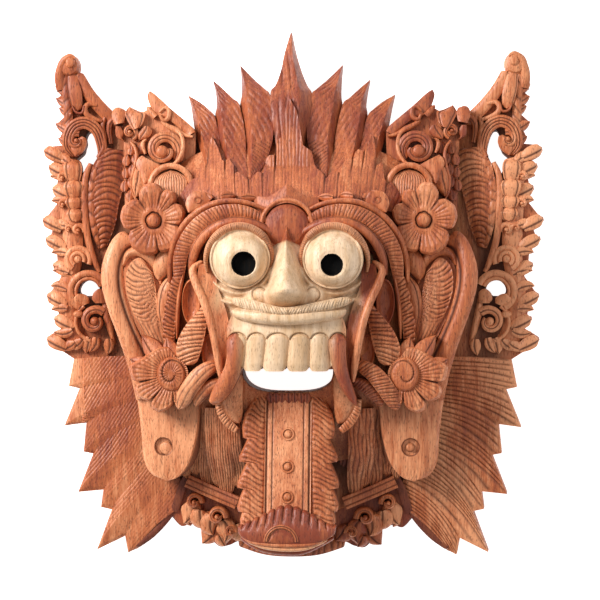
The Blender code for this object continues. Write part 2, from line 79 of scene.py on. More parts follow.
def swelling(x, y, half_width, up, down, middle):
    """exp(-(x / half width)^4 - ((y - middle) / reach)^4), the reach differing up and down."""
    reach = np.where(y > middle, up, down)
    return np.exp(-(np.abs(x) / half_width) ** 4 - (np.abs(y - middle) / reach) ** 4)


def ground(x, y):
    """Height of the carved ground: a low field, a broad swelling, and the cheeks raised on that."""
    x, y = np.asarray(x, float), np.asarray(y, float)
    broad = 60.0 * swelling(x, y, 105.0, 105.0, 125.0, 10.0)
    return 28.0 + broad + 15.0 * swelling(x, y, 56.0, 64.0, 66.0, -2.0)


def dent(x, y, centre, radii, depth):
    """A flat-bottomed oval hollow: depth x exp(-(distance in radii)^4)."""
    share = ((np.abs(x) - centre[0]) / radii[0]) ** 2 + ((y - centre[1]) / radii[1]) ** 2
    return depth * np.exp(-share ** 2)


def soft(value, low, high):
    """0 below low, 1 above high, and s^2 (3 - 2 s) between them."""
    share = np.clip((value - low) / (high - low), 0, 1)
    return share * share * (3 - 2 * share)


def spread(value, shape):
    """A number, or a row or column of them, at every point of a grid."""
    return np.broadcast_to(np.asarray(value, float), shape)


# Places

def upright(points, side):
    """Points of the block: x is mirrored on the left."""
    return points * (side, 1.0, 1.0)


def on_wing(points, side):
    """Points of a wing: x is measured out from its joint along a board that tilts forward outwards."""
    x, y, z = points.T
    across = WING_ROOT + x * math.cos(WING_TILT) - z * math.sin(WING_TILT)
    return np.stack([side * across, y, x * math.sin(WING_TILT) + z * math.cos(WING_TILT)], axis=1)


# Gathering strokes into meshes

class Carving:
    """Closed strokes gathered for one object.

    The painted side light makes the strokes that follow darker or lighter, as painted light and shade set a
    side at a time; the base is where their walls end unless they name one of their own.
    """

    def __init__(self, place=upright, side=1):
        self.place = place
        self.side = side
        self.painted_side_light = 0.0
        self.base = None
        self.size = 0
        self.points, self.marks, self.quads, self.threes = [], [], [], []

    def add(self, points, quads, threes, marks):
        """Keeps one stroke. Its faces are turned round on the left, so that they still point out."""
        turn = slice(None, None, self.side)
        self.points.append(self.place(points, self.side))
        self.marks.append(marks + [0, self.painted_side_light, 0])
        self.quads.append(quads[:, turn] + self.size)
        self.threes.append(threes[:, turn] + self.size)
        self.size += len(points)

    def sides(self):
        """Right, then left."""
        for side in (1, -1):
            self.side = side
            yield side
        self.side = 1

    def mesh(self, name):
        """One mesh of all the strokes, with their three shares at its points."""
        gathered = (self.points, self.marks, self.quads, self.threes)
        points, marks, quads, threes = (np.concatenate(kept) for kept in gathered)
        data = bpy.data.meshes.new(name)
        data.vertices.add(len(points))
        data.vertices.foreach_set("co", (points * MM).astype(np.float32).ravel())
        corners = np.concatenate([quads.ravel(), threes.ravel()]).astype(np.int32)
        data.loops.add(len(corners))
        data.loops.foreach_set("vertex_index", corners)
        starts = np.concatenate([np.arange(len(quads)) * 4, len(quads) * 4 + np.arange(len(threes)) * 3])
        data.polygons.add(len(starts))
        data.polygons.foreach_set("loop_start", starts.astype(np.int32))
        data.update(calc_edges=True)
        for title, values in zip(("crest", "tone", "sap"), marks.T):
            layer = data.attributes.new(title, "FLOAT", "POINT")
            layer.data.foreach_set("value", values.astype(np.float32))
        return data


def ring_faces(rows, columns):
    """Quads of a tube of rows x columns points, each row closed on itself, and a fan at each end.

    The two points that close the ends come after the grid. The columns run to the right of the rows' way.
    """
    row, column = (index.ravel() for index in np.indices((rows - 1, columns)))
    beside = (column + 1) % columns
    here, after = row * columns, (row + 1) * columns
    quads = np.stack([here + column, here + beside, after + beside, after + column], axis=1)
    column, beside = column[:columns], beside[:columns]
    middle = np.full(columns, rows * columns)
    start = np.stack([beside, column, middle], axis=1)
    last = (rows - 1) * columns
    end = np.stack([last + column, last + beside, middle + 1], axis=1)
    return quads, np.concatenate([start, end])


def closed(grid):
    """A grid's points in one list, with the middles of its first and last rows after them."""
    return np.concatenate([grid.reshape(-1, 3), grid[[0, -1]].mean(axis=1)])


def finish(work, grid, crest, tone, sap, feet=((0, 0), (1, 1)), way=1):
    """Keeps a grid with feet on these sides; a foot has the tone and sap of the edge beside it."""
    rows, columns = crest.shape
    inside = grid[feet[0][0]:rows - feet[0][1], feet[1][0]:columns - feet[1][1]]
    marks = [crest]
    for share in (tone, sap):
        value = spread(share(inside) if callable(share) else share, inside.shape[:2])
        marks.append(np.pad(value, feet, mode="edge"))
    marks = np.stack([values.ravel() for values in marks], axis=1)
    quads, threes = ring_faces(rows, columns)
    work.add(closed(grid), quads[:, ::way], threes[:, ::way], np.concatenate([marks, marks[[0, -1]]]))


def wall_in(work, grid, crest, foot, tone, sap):
    """Adds a wall down to the foot at both edges of a grid, turns it to the right, and keeps it."""
    along, across = np.diff(grid[:, :-1, :2], axis=0), np.diff(grid[:-1, :, :2], axis=1)
    turn = np.sum(along[..., 0] * across[..., 1] - along[..., 1] * across[..., 0])
    feet = grid[:, [0, -1]].copy()
    feet[:, :, 2] = foot
    grid = np.concatenate([feet[:, :1], grid, feet[:, 1:]], axis=1)
    crest = np.pad(crest, ((0, 0), (1, 1)))
    if turn > 0:
        grid, crest = grid[:, ::-1], crest[:, ::-1]
    finish(work, grid, crest, tone, sap)


def distance(points):
    """The length of the way to each point along a line seen from above."""
    return np.concatenate([[0.0], np.cumsum(np.hypot(*np.diff(points[:, :2], axis=0).T))])


def read_off(places, way, table):
    """Every column of a table, read off at places on the way."""
    return np.stack([np.interp(places, way, column) for column in table.T], axis=1)


def curve(stations, step, smooth=True):
    """Points a step apart along stations, on a Catmull-Rom curve or straight from one to the next."""
    knots = fine = np.array(stations, float)
    if smooth and len(knots) > 2:
        padded = np.vstack([2 * knots[0] - knots[1], knots, 2 * knots[-1] - knots[-2]])
        along = np.linspace(0, len(knots) - 1, 16 * (len(knots) - 1) + 1)
        cell = np.minimum(along.astype(int), len(knots) - 2)
        t = (along - cell)[:, None]
        a, b, c, d = (padded[cell + k] for k in range(4))
        square, cube = 2 * a - 5 * b + 4 * c - d, 3 * b - a - 3 * c + d
        fine = 0.5 * (2 * b + (c - a) * t + square * t ** 2 + cube * t ** 3)
    run = distance(fine)
    way = np.linspace(0, run[-1], max(4, int(run[-1] / step) + 1))
    return read_off(way, run, fine), way


def even(stations, count=60, smooth=True):
    """A curve through stations, cut into the same number of even steps."""
    fine, way = curve(stations, 0.5, smooth)
    return read_off(np.linspace(0, way[-1], count), way, fine)


def strap(work, stations, cut=None, fall=1.5, power=2.2, base=None, tone=0.5, sap=0.0, step=0.9, across=9,
          lobes=None, ends=(0.0, 0.0), bank=0.0):
    """A band carved along stations of x, y, height of the crest and half width.

    Across it, with u from -1 to 1: height = crest - fall |u|^power + bank u + cut(u, way). Its walls go
    down to the base. Lobes swell the edges: pitch, depth as a share of the width, and 1 for the right edge,
    -1 for the left. Ends rounds it off over that length at either end.
    """
    line, way = curve(stations, step)
    along = np.gradient(line[:, :2], axis=0)
    along /= np.maximum(np.hypot(along[:, 0], along[:, 1]), 1e-9)[:, None]
    right = np.stack([along[:, 1], -along[:, 0]], axis=1)
    half = np.maximum(line[:, 3], 0.03)
    for length, left_over in zip(ends, (way, way[-1] - way)):
        if length:
            half = half * np.sqrt(np.clip(1 - np.clip(1 - left_over / length, 0, 1) ** 2, 0.0004, 1))
    grid_u, grid_way = np.meshgrid(np.linspace(-1, 1, across), way)
    width = spread(half[:, None], grid_u.shape)
    if lobes:
        swell = 1 - lobes[1] * (1 - np.abs(np.sin(np.pi * way / lobes[0])) ** 0.7)[:, None]
        width = np.where(grid_u * lobes[2] > 0, width * swell, width)
    x = line[:, :1] + right[:, :1] * width * grid_u
    y = line[:, 1:2] + right[:, 1:] * width * grid_u
    z = line[:, 2:3] - fall * np.abs(grid_u) ** power + bank * grid_u
    crest = np.ones_like(z)
    if cut:
        depth, crest = cut(grid_u, grid_way, width, way[-1])
        z = z + depth
    base = work.base if base is None else base
    if base is None:
        base = np.minimum(ground(line[:, 0], line[:, 1]), line[:, 2] - fall) - SINK
    low = np.minimum(base, z.min(axis=1) - LEAST_WALL)
    wall_in(work, np.stack([x, y, z], axis=2), crest, low[:, None], tone, sap)


def plate(work, left, right, rise=0.0, cut=None, base=None, tone=0.5, sap=0.0, rows=60, across=15,
          smooth=(True, True), power=2.0):
    """A board between two edges of x, y, z stations: straight across, and domed by rise (1 - |u|^power)."""
    one, two = even(left, rows, smooth[0]), even(right, rows, smooth[1])
    u = np.linspace(-1, 1, across)[None, :, None]
    grid = one[:, None] * (1 - u) / 2 + two[:, None] * (1 + u) / 2
    way = distance((one + two) / 2)
    width = np.hypot(*(two - one)[:, :2].T) / 2
    grid_u, grid_way = np.meshgrid(u.ravel(), way)
    grid[:, :, 2] += rise * (1 - np.abs(grid_u) ** power)
    crest = np.ones_like(grid_u)
    if cut:
        depth, crest = cut(grid_u, grid_way, spread(width[:, None], grid_u.shape), way[-1])
        grid[:, :, 2] += depth
    base = work.base if base is None else base
    if base is None:
        base = ground(grid[:, [0, -1], 0], grid[:, [0, -1], 1]) - SINK
    low = np.minimum(base, grid[:, :, 2].min(axis=1, keepdims=True) - LEAST_WALL)
    wall_in(work, grid, crest, low, tone, sap)


def sheet(work, rails, cut, base, tone=0.5, sap=0.0, rows=120, across=40):
    """A board over rails whose stations match one to one: straight along them, and curved from rail to rail.

    Cut gets the share of the way across, the distance along the first rail, and x and y.
    """
    rails = np.array(rails, float)
    run = distance(rails[0])
    way = np.unique(np.concatenate([run, np.linspace(0, run[-1], rows)]))
    lines = [read_off(way, run, rail)[:, None] for rail in rails]
    share = np.linspace(0, 1, across)[None, :, None]
    if len(lines) == 2:
        grid = lines[0] * (1 - share) + lines[1] * share
    else:
        grid = (lines[0] * (1 - share) * (1 - 2 * share) + lines[1] * 4 * share * (1 - share)
                + lines[2] * share * (2 * share - 1))
    none = np.zeros(grid.shape[:2])
    depth, crest = cut(share[..., 0] + none, way[:, None] + none, grid[..., 0], grid[..., 1])
    grid[..., 2] += depth
    wall_in(work, grid, crest, min(base, grid[..., 2].min() - LEAST_WALL), tone, sap)


def turned(work, centre, profile, cut=None, edge=None, sectors=48, drift=(0.0, 0.0), squash=(1.0, 1.0),
           base=None, tone=0.5, sap=0.0, step=1.0):
    """A round form: profile lists radius and height from the middle out, carried round the centre.

    The radius is multiplied by edge(turn) towards the rim, drift moves the middle off the rim's centre, and
    cut(share, turn) is added to the height. The rim's wall goes down to the base.
    """
    knots = np.array(profile, float)
    run = distance(knots)
    way = np.unique(np.concatenate([run, np.linspace(0, run[-1], int(run[-1] / step) + 2)]))
    radius, height = read_off(way, run, knots).T
    turn = np.linspace(0, 2 * np.pi, sectors, endpoint=False)
    grid_turn, grid_share = np.meshgrid(turn, radius / radius.max())
    reach = spread(radius[:, None], grid_turn.shape)
    if edge:
        reach = reach * (1 + (edge(grid_turn) - 1) * grid_share)
    shift = np.clip(1 - grid_share, 0, 1)
    x = centre[0] + squash[0] * reach * np.cos(grid_turn) + drift[0] * shift
    y = centre[1] + squash[1] * reach * np.sin(grid_turn) + drift[1] * shift
    z = spread(height[:, None], x.shape)
    crest = np.ones_like(z)
    if cut:
        depth, crest = cut(grid_share, grid_turn)
        z = z + depth
    base = work.base if base is None else base
    low = float(ground(*centre)) - SINK if base is None else base
    grid = np.stack([x, y, z], axis=2)
    foot = grid[-1:].copy()
    foot[..., 2] = min(low, float(z.min()) - LEAST_WALL)
    feet = ((0, 1), (0, 0))
    finish(work, np.concatenate([grid, foot]), np.pad(crest, feet), tone, sap, feet, -1)


def spiral(centre, radii, turns, heights, halves, count=14):
    """Stations on a spiral: radius, height and half width run evenly as the turn, in degrees, does."""
    share = np.linspace(0, 1, count)
    ranges = (radii, turns, heights, halves)
    radius, turn, height, half = (first + (last - first) * share for first, last in ranges)
    turn = np.radians(turn)
    x, y = centre[0] + radius * np.cos(turn), centre[1] + radius * np.sin(turn)
    return np.stack([x, y, height, half], axis=1)


# What a chisel leaves; each cut also gives a crest share, low in its grooves, that paints shade there

def grooves(phase, sharp):
    """Rounded grooves, 1 at each whole number of the phase and 0 halfway: 1 - |sin(pi phase)|^sharp."""
    return 1 - np.abs(np.sin(np.pi * phase)) ** sharp


def line_at(value, place, width):
    """A thin line: exp(-((value - place) / width)^2)."""
    return np.exp(-((value - place) / width) ** 2)


def ribs(pitch, depth, slant=0.0, margin=0.1, sharp=0.65, fan=0.0):
    """Rounded ribs across a band: depth (|sin(pi way / pitch)|^sharp - 1), fading at its edges.

    Slant moves the ribs along by that many half widths at the edges, and fan does so as u squared.
    """
    def cut(u, way, half, length):
        shift = slant * half * u + fan * half * u ** 2
        shift = shift + 0.16 * pitch * np.sin(way * 1.9 / pitch + 1.3 * u)
        low = grooves((way + shift) / pitch, sharp) * np.clip((1 - np.abs(u)) / margin, 0, 1)
        return -depth * low, 1 - low
    return cut


def flutes(count, depth, sharp=0.7, start=0.0, wander=0.0):
    """Lines along a band: depth (|sin(pi count (u + 1) / 2)|^sharp - 1), wandering a little on the way."""
    def cut(u, way, half, length):
        sway = wander * np.sin(way * 0.21 + 2.0 * u + start)
        low = grooves(count * (u + 1) / 2 + sway + start, sharp)
        return -depth * low, 1 - low
    return cut


def lined(depth, width, *places):
    """Thin lines of a depth and half width along a band, at these u."""
    def cut(u, way, half, length):
        line = sum(line_at(u, place, width) for place in places)
        return -depth * line, 1 - np.clip(line, 0, 1)
    return cut


def both(half):
    """Stations from the left end to the right, from those that run out from the middle on the right."""
    return [(-x, *rest) for x, *rest in half[:0:-1]] + half


def painted_shade_band(crest):
    """No cut, but painted shade all over: a low crest darkens the whole band."""
    return lambda u, way, half, length: (0 * u, crest + 0 * u)


# Sizes and colours that a user may change

class MaskWood(bpy.types.PropertyGroup):
    light: bpy.props.FloatVectorProperty(
        name="Light wood", description="Heartwood at its lightest, in the hair and on the wings",
        subtype="COLOR", size=3, min=0, max=1, default=(0.78, 0.33, 0.155))
    middle: bpy.props.FloatVectorProperty(
        name="Orange wood", description="Heartwood as most of the mask shows it",
        subtype="COLOR", size=3, min=0, max=1, default=(0.50, 0.14, 0.046))
    red: bpy.props.FloatVectorProperty(
        name="Red wood", description="Heartwood at its reddest, in the crown and the brows",
        subtype="COLOR", size=3, min=0, max=1, default=(0.26, 0.049, 0.02))
    # The groove colour is painted shade, laid in the cuts and on walls whose crest is low.
    groove: bpy.props.FloatVectorProperty(
        name="Groove", description="Stain gathered in the cuts",
        subtype="COLOR", size=3, min=0, max=1, default=(0.055, 0.012, 0.006))
    sapwood: bpy.props.FloatVectorProperty(
        name="Sapwood", description="Cream sapwood of the eyes, nose, lips and teeth",
        subtype="COLOR", size=3, min=0, max=1, default=(0.90, 0.68, 0.47))
    sapwood_dark: bpy.props.FloatVectorProperty(
        name="Darker sapwood", description="Sapwood near the heartwood",
        subtype="COLOR", size=3, min=0, max=1, default=(0.64, 0.41, 0.22))
    roughness: bpy.props.FloatProperty(
        name="Roughness", description="Roughness of the satin lacquer", min=0.1, max=1, default=0.46)


class MaskStage(bpy.types.PropertyGroup):
    distance: bpy.props.FloatProperty(
        name="Camera distance", description="From the camera to the mask", unit="LENGTH", min=0.5,
        default=1.5)
    lens: bpy.props.FloatProperty(
        name="Lens", description="Focal length in millimetres", min=20, max=300, default=109.8)
    key: bpy.props.FloatProperty(
        name="Key light", description="Power of the large light at the upper left", unit="POWER", min=0,
        default=29.0)
    fill: bpy.props.FloatProperty(
        name="Fill light", description="Power of the light at the right", unit="POWER", min=0, default=3.5)
    sky: bpy.props.FloatProperty(
        name="Surroundings", description="Strength of the even light all round", min=0, default=0.46)
    floor_glow: bpy.props.FloatProperty(
        name="Floor glow", description="How much the pale floor glows, so that it stays white in shade",
        min=0, default=0.95)


# Finishes

def feed(tree, sockets, values):
    """Links each socket to the socket that it gets, or sets it to the number or colour."""
    for socket, value in zip(sockets, values):
        if isinstance(value, bpy.types.NodeSocket):
            tree.links.new(value, socket)
        else:
            socket.default_value = value


def mix_colour(tree, share, one, two, blend="MIX"):
    """A colour mixed by a socket or number."""
    node = tree.nodes.new("ShaderNodeMix")
    node.data_type = "RGBA"
    node.blend_type = blend
    feed(tree, (node.inputs[0], node.inputs[6], node.inputs[7]), (share, one, two))
    return node.outputs[2]


def figure(tree, operation, *values):
    """One step of arithmetic on sockets or numbers."""
    node = tree.nodes.new("ShaderNodeMath")
    node.operation = operation
    feed(tree, node.inputs, values)
    return node.outputs[0]


def stretch(tree, value, low, high, to_low=0.0, to_high=1.0):
    """A value carried from one range to another, and held inside it."""
    node = tree.nodes.new("ShaderNodeMapRange")
    node.clamp = True
    feed(tree, node.inputs, (value, low, high, to_low, to_high))
    return node.outputs[0]


def speckle(tree, place, scale, detail=3.0, roughness=0.55, offset=(0.0, 0.0, 0.0)):
    """Noise in object coordinates, drawn out by a scale for each axis."""
    mapping = tree.nodes.new("ShaderNodeMapping")
    noise = tree.nodes.new("ShaderNodeTexNoise")
    feed(tree, (mapping.inputs[title] for title in ("Vector", "Scale", "Location")), (place, scale, offset))
    feed(tree, (noise.inputs[title] for title in ("Vector", "Scale", "Detail", "Roughness")),
         (mapping.outputs[0], 1.0, detail, roughness))
    return noise.outputs[0]


def share_of(tree, title):
    """One of the shares kept at the mesh's points."""
    node = tree.nodes.new("ShaderNodeAttribute")
    node.attribute_name = title
    return node.outputs["Fac"]


def new_material(name):
    """A material with its node tree, its shader's sockets and the object coordinates."""
    material = bpy.data.materials.new(name)
    material.use_nodes = True
    tree = material.node_tree
    shader = tree.nodes["Principled BSDF"].inputs
    return material, tree, shader, tree.nodes.new("ShaderNodeTexCoord").outputs["Object"]


def carved_wood():
    """Lacquered wood: grain, pores and streaks run up the mask, and painted shade lies in the cuts."""
    if "lacquered_wood" in bpy.data.materials:
        return bpy.data.materials["lacquered_wood"]
    colours = bpy.context.scene.mask_wood
    material, tree, shader, place = new_material("lacquered_wood")
    crest, tone, sap = (share_of(tree, title) for title in ("crest", "tone", "sap"))
    titles = ("light", "middle", "red", "groove", "sapwood", "sapwood_dark")
    light, middle, red, groove, sapwood, sapwood_dark = ((*getattr(colours, title), 1) for title in titles)

    def scaled(value, factor):
        return figure(tree, "MULTIPLY", value, factor)

    def swung(value, noise, reach):
        return figure(tree, "ADD", value, scaled(figure(tree, "SUBTRACT", noise, 0.5), reach))

    broad = speckle(tree, place, (34.0, 15.0, 30.0), 2.0)
    streak = speckle(tree, place, (210.0, 24.0, 160.0), 3.0, 0.6)
    fibre = speckle(tree, place, (900.0, 70.0, 700.0), 3.0, 0.65, (3.1, 0.7, 1.9))
    pores = speckle(tree, place, (1250.0, 240.0, 1250.0), 1.0, 0.5, (7.3, 1.1, 4.2))
    marks = speckle(tree, place, (150.0, 110.0, 150.0), 2.0, 0.5, (1.7, 5.1, 0.4))

    depth = swung(swung(swung(tone, broad, 1.15), streak, 1.1), fibre, 0.8)
    heart = mix_colour(tree, stretch(tree, depth, 0.0, 0.5), light, middle)
    heart = mix_colour(tree, stretch(tree, depth, 0.5, 1.05), heart, red)
    pale = stretch(tree, figure(tree, "ADD", streak, scaled(broad, 0.5)), 0.55, 0.95)
    cream = mix_colour(tree, pale, sapwood, sapwood_dark)
    edge = swung(sap, streak, 0.35)
    warm = mix_colour(tree, stretch(tree, edge, 0.18, 0.62), heart, sapwood_dark)
    wood = mix_colour(tree, stretch(tree, edge, 0.45, 0.95), warm, cream)

    pore = stretch(tree, pores, 0.60, 0.70)
    strength = stretch(tree, sap, 0.2, 0.9, 0.5, 0.26)
    wood = mix_colour(tree, figure(tree, "MULTIPLY", pore, strength), wood, groove)
    fine_line = stretch(tree, fibre, 0.35, 0.7, 0.0, 0.3)
    wood = mix_colour(tree, fine_line, wood, (0.55, 0.42, 0.36, 1), "MULTIPLY")
    # Painted shade: the groove colour is mixed in where the crest is low, less of it on the sapwood.
    strength = figure(tree, "SUBTRACT", 0.92, scaled(sap, 0.38))
    painted_groove_shade = figure(tree, "MULTIPLY", stretch(tree, crest, 0.85, 0.05), strength)
    wood = mix_colour(tree, painted_groove_shade, wood, groove)

    rough = figure(tree, "ADD", stretch(tree, crest, 0.0, 0.9, 0.4, 0.0), scaled(pore, 0.2))
    lacquer = stretch(tree, marks, 0.3, 0.7, colours.roughness - 0.06, colours.roughness + 0.08)
    feed(tree, (shader["Base Color"], shader["Roughness"]), (wood, figure(tree, "ADD", rough, lacquer)))
    shader["Specular IOR Level"].default_value = 0.42
    shader["Coat Weight"].default_value = 0.1
    shader["Coat Roughness"].default_value = 0.3

    height = figure(tree, "ADD", scaled(fibre, 0.3), scaled(marks, 0.8))
    height = figure(tree, "SUBTRACT", height, scaled(pore, 0.35))
    bump = tree.nodes.new("ShaderNodeBump")
    feed(tree, (bump.inputs[title] for title in ("Strength", "Distance", "Height")), (0.7, 0.0009, height))
    tree.links.new(bump.outputs[0], shader["Normal"])
    return material


def black_stain():
    """Black stain in the pupils, with a little of the grain in its sheen."""
    material, tree, shader, place = new_material("black_stain")
    grain = speckle(tree, place, (900.0, 200.0, 900.0))
    black = mix_colour(tree, stretch(tree, grain, 0.5, 0.8), (0.002, 0.002, 0.002, 1),
                       (0.014, 0.009, 0.006, 1))
    feed(tree, (shader["Base Color"], shader["Roughness"]),
         (black, stretch(tree, grain, 0.3, 0.7, 0.55, 0.8)))
    shader["Specular IOR Level"].default_value = 0.12
    return material


def set_out(data, node="mask", material=None):
    """Makes the object, smooth but for sharp edges. It rides with the mask and replaces a node of it."""
    piece = bpy.data.objects.new(data.name, data)
    bpy.context.scene.collection.objects.link(piece)
    data.shade_smooth()
    data.set_sharp_from_angle(angle=math.radians(42))
    data.materials.append(material or carved_wood())
    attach(piece, "root")
    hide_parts(node)


# The block

def cut_out(context, name, node, body, joined, holes):
    """Joins shapes to the body, cuts the holes, and sets out the mesh that this leaves."""
    scene = context.scene.collection
    scene.objects.link(body)
    groups = []
    for operation, shapes in (("UNION", joined), ("DIFFERENCE", holes)):
        if not shapes:
            continue
        group = bpy.data.collections.new(f"{name}_{operation.lower()}")
        scene.children.link(group)
        for shape in shapes:
            group.objects.link(shape)
        modifier = body.modifiers.new(operation.lower(), "BOOLEAN")
        modifier.operation = operation
        modifier.operand_type = "COLLECTION"
        modifier.collection = group
        modifier.solver = "MANIFOLD"
        groups.append(group)
    context.view_layer.update()
    data = bpy.data.meshes.new_from_object(body.evaluated_get(context.evaluated_depsgraph_get()))
    for shape in (body, *joined, *holes):
        bpy.data.objects.remove(shape)
    for group in groups:
        bpy.data.collections.remove(group)
    if not data.polygons:
        raise RuntimeError(f"{name} came out empty")
    data.name = name
    data.materials.clear()
    set_out(data, node)


def loose(name, rings, crest=0.8):
    """A plain closed mesh through rings of as many points each, from the foot up, to be joined or cut."""
    grid = np.array(rings, float)
    rows, columns = grid.shape[:2]
    quads, threes = ring_faces(rows, columns)
    x, y = grid[0, :, :2].T
    turn = slice(None, None, 1 if np.sum(x * np.roll(y, -1) - np.roll(x, -1) * y) > 0 else -1)
    points = closed(grid)
    work = Carving()
    work.add(points, quads[:, turn], threes[:, turn], np.tile([crest, 0.5, 0.0], (len(points), 1)))
    return bpy.data.objects.new(name, work.mesh(name))


def board_rings(half, levels):
    """An outline given down its right half, mirrored, at several heights and insets."""
    right = np.array(half, float)
    left = right[::-1] * (-1, 1)
    outline = np.concatenate([right, left[1:-1]])
    away = outline - outline.mean(axis=0)
    away /= np.linalg.norm(away, axis=1)[:, None]
    return [np.column_stack([outline - away * inset, np.full(len(outline), height)])
            for height, inset in levels]


def rounded(sectors, start, power):
    """x and y round a squared circle: |cos|^power and |sin|^power of the turn, with their own signs."""
    turn = np.linspace(0, 2 * np.pi, sectors, endpoint=False) + start
    return (np.sign(way) * np.abs(way) ** power for way in (np.cos(turn), np.sin(turn)))


def ground_rings():
    """The ground's surface on rings that shrink towards its middle, over a wall down to the wings."""
    wide, tall = rounded(168, 0.01, 0.7)
    wide, tall = 121.0 * wide, np.where(tall > 0, 117.0, 149.0) * tall
    rings = [np.column_stack([wide, 10 + tall, np.full(len(wide), OVERHANG)])]
    for share in np.linspace(1.0, 0.012, 56):
        x, y = wide * share, 10 + tall * share
        z = ground(x, y)
        z = z - dent(x, y, (75.5, -1.0), (8.5, 17.0), 9.0) - dent(x, y, (66.0, -56.0), (8.0, 9.0), 6.0)
        rings.append(np.column_stack([x, y, z]))
    return rings


def hollow_rings():
    """The wearer's hollow: rounded rings that close in as they rise."""
    wide, tall = rounded(96, 0.02, 0.85)
    wide, tall = 70.0 * wide, np.where(tall > 0, 100.0, 84.0) * tall
    rings = [np.column_stack([wide, -4.0 + tall, np.full(len(wide), -8.0)])]
    for angle in np.linspace(0, 1.5, 26):
        share = math.cos(angle) ** 0.8
        height = np.full(len(wide), 8.0 + 80.0 * math.sin(angle))
        rings.append(np.column_stack([wide * share, -4.0 + tall * share, height]))
    return rings


def mouth_rings():
    """The open mouth: notched between the teeth above, its lower corners rounded."""
    bottom = np.radians(np.linspace(0, -180, 25))
    x = 36.0 * np.sign(np.cos(bottom)) * np.abs(np.cos(bottom)) ** 0.62
    y = -60.0 + 18.6 * np.sign(np.sin(bottom)) * np.abs(np.sin(bottom)) ** 0.8
    points = list(zip(x, y))
    for gap in TOOTH_GAPS:
        points += [(gap - 2.2, -60.0), (gap, -56.4), (gap + 2.2, -60.0)]
    return [np.column_stack([points, np.full(len(points), height)]) for height in (24.0, 116.0)]


class MASK_OT_block(bpy.types.Operator):
    """Carves the block behind the face, hollow for the wearer and open at the mouth"""
    bl_idname = "mask.block"
    bl_label = "Block"

    def execute(self, context):
        half = [(0, 146), (70, 146), (86, 124), (86, -148), (56, -172), (0, -192)]
        body = loose("block_board", board_rings(half, ((0, 1.2), (1.2, 0), (28.8, 0), (30, 1.2))))
        # The mouth's cutter gives the opening's walls a crest of 0, so they take the groove colour: painted
        # shade inside the mouth.
        holes = (loose("block_hollow", hollow_rings()), loose("block_mouth", mouth_rings(), 0.0))
        cut_out(context, "mask_block", "mask", body, (loose("block_ground", ground_rings()),), holes)
        return {"FINISHED"}


# The face

def nostril(x, y, width):
    """The curled groove round the nose's flat wing, on the inner stretch of its turn."""
    out, up = np.abs(x) - 21, y + 0.4
    bend = np.degrees(np.arctan2(up, out))
    return line_at(np.hypot(out, up), 5.4, width) * soft(118 - np.abs(bend - 40), 0, 14)


def cleft(x, y, width):
    """The groove down the middle of the lip under the nose."""
    return line_at(x, 0, width) * soft(-y, 2, 5)


def face_height(x, y):
    """The cheeks, the nose, its flat wings and the folds under the eyes; the highest is taken softly."""
    wide = np.abs(x)
    skin = 104.0 - 0.0042 * wide ** 2 - 0.012 * np.clip(-y - 4, 0, 60) ** 1.5
    skin = skin - 17.0 * soft(y, 30, 46) * soft(wide, 5, 16) - 20.0 * soft(y, 36, 54)
    ridge = np.interp(y, [-15, -12, -9, -6, -2, 1, 3, 12, 24, 36, 46, 52, 55, 60],
                      [104, 110, 117.5, 125.5, 134.5, 138.4, 138.8, 132, 122, 115, 110, 106.5, 98, 84])
    share = wide / np.interp(y, [-14, -8, 0, 8, 18, 30, 40, 46, 53],
                             [16, 20.5, 20, 16.6, 14.4, 10.4, 7.6, 5.2, 2.4])
    root = np.interp(y, [30, 40, 50, 58], [100, 92, 84, 74])
    nose = ridge - (ridge - root) * np.clip(share, 0, 1.5) ** np.interp(y, [0, 20, 40], [2, 1.75, 1.5])
    wing = 112.6 - 0.045 * (wide - 19.5) ** 2 - 0.075 * (y + 1) ** 2
    from_eye = np.hypot(wide - EYE[0], y - EYE[1])
    turn = np.degrees(np.arctan2(y - EYE[1], wide - EYE[0]))
    under = soft(-turn, -16, 14) * soft(turn, -178, -150)
    first = np.interp(turn, [-180, -120, -90, -60, -35, -8, 10], [25.4, 26.5, 27.5, 28, 29, 32.5, 36])
    second = np.interp(turn, [-180, -130, -90, -60, -30, -8, 10], [29, 31.5, 35.2, 36.6, 36.4, 37.5, 40])
    fold = skin + 7.2 * under * line_at(from_eye, first, 2.8)
    fold = np.maximum(fold, skin + 6.6 * under * line_at(from_eye, second, 2.6))
    blend = 1.3
    levels = np.stack([skin, nose, wing, fold]) / blend
    top = levels.max(axis=0)
    z = blend * (top + np.log(np.exp(levels - top).sum(axis=0)))
    z = z - 9.0 * np.clip((23.6 - from_eye) / 3, 0, 1)
    return z - 1.7 * nostril(x, y, 0.75) - 0.9 * cleft(x, y, 0.7)


def teeth_marks(x, y):
    """The tooth a point is on: u from -1 to 1 across it, its half width, and the way below its arch."""
    tops = np.array([-46, -30.8, -15.6, 2.6, 18.8, 33.6, 47])
    feet = np.array([-50, -34, *TOOTH_GAPS, 34.4, 50])
    down = np.clip((-34.0 - y) / 26, 0, 1)
    edges = tops + down[..., None] * (feet - tops)
    which = np.clip((x[..., None] > edges).sum(axis=-1) - 1, 0, 5)
    low, high = (np.take_along_axis(edges, which[..., None] + k, -1)[..., 0] for k in (0, 1))
    u = np.clip((x - low) / (high - low) * 2 - 1, -1, 1)
    arch = -36.8 + 6.2 * np.sqrt(np.clip(1 - u ** 2, 0, 1))
    return u, (high - low) / 2, arch - y


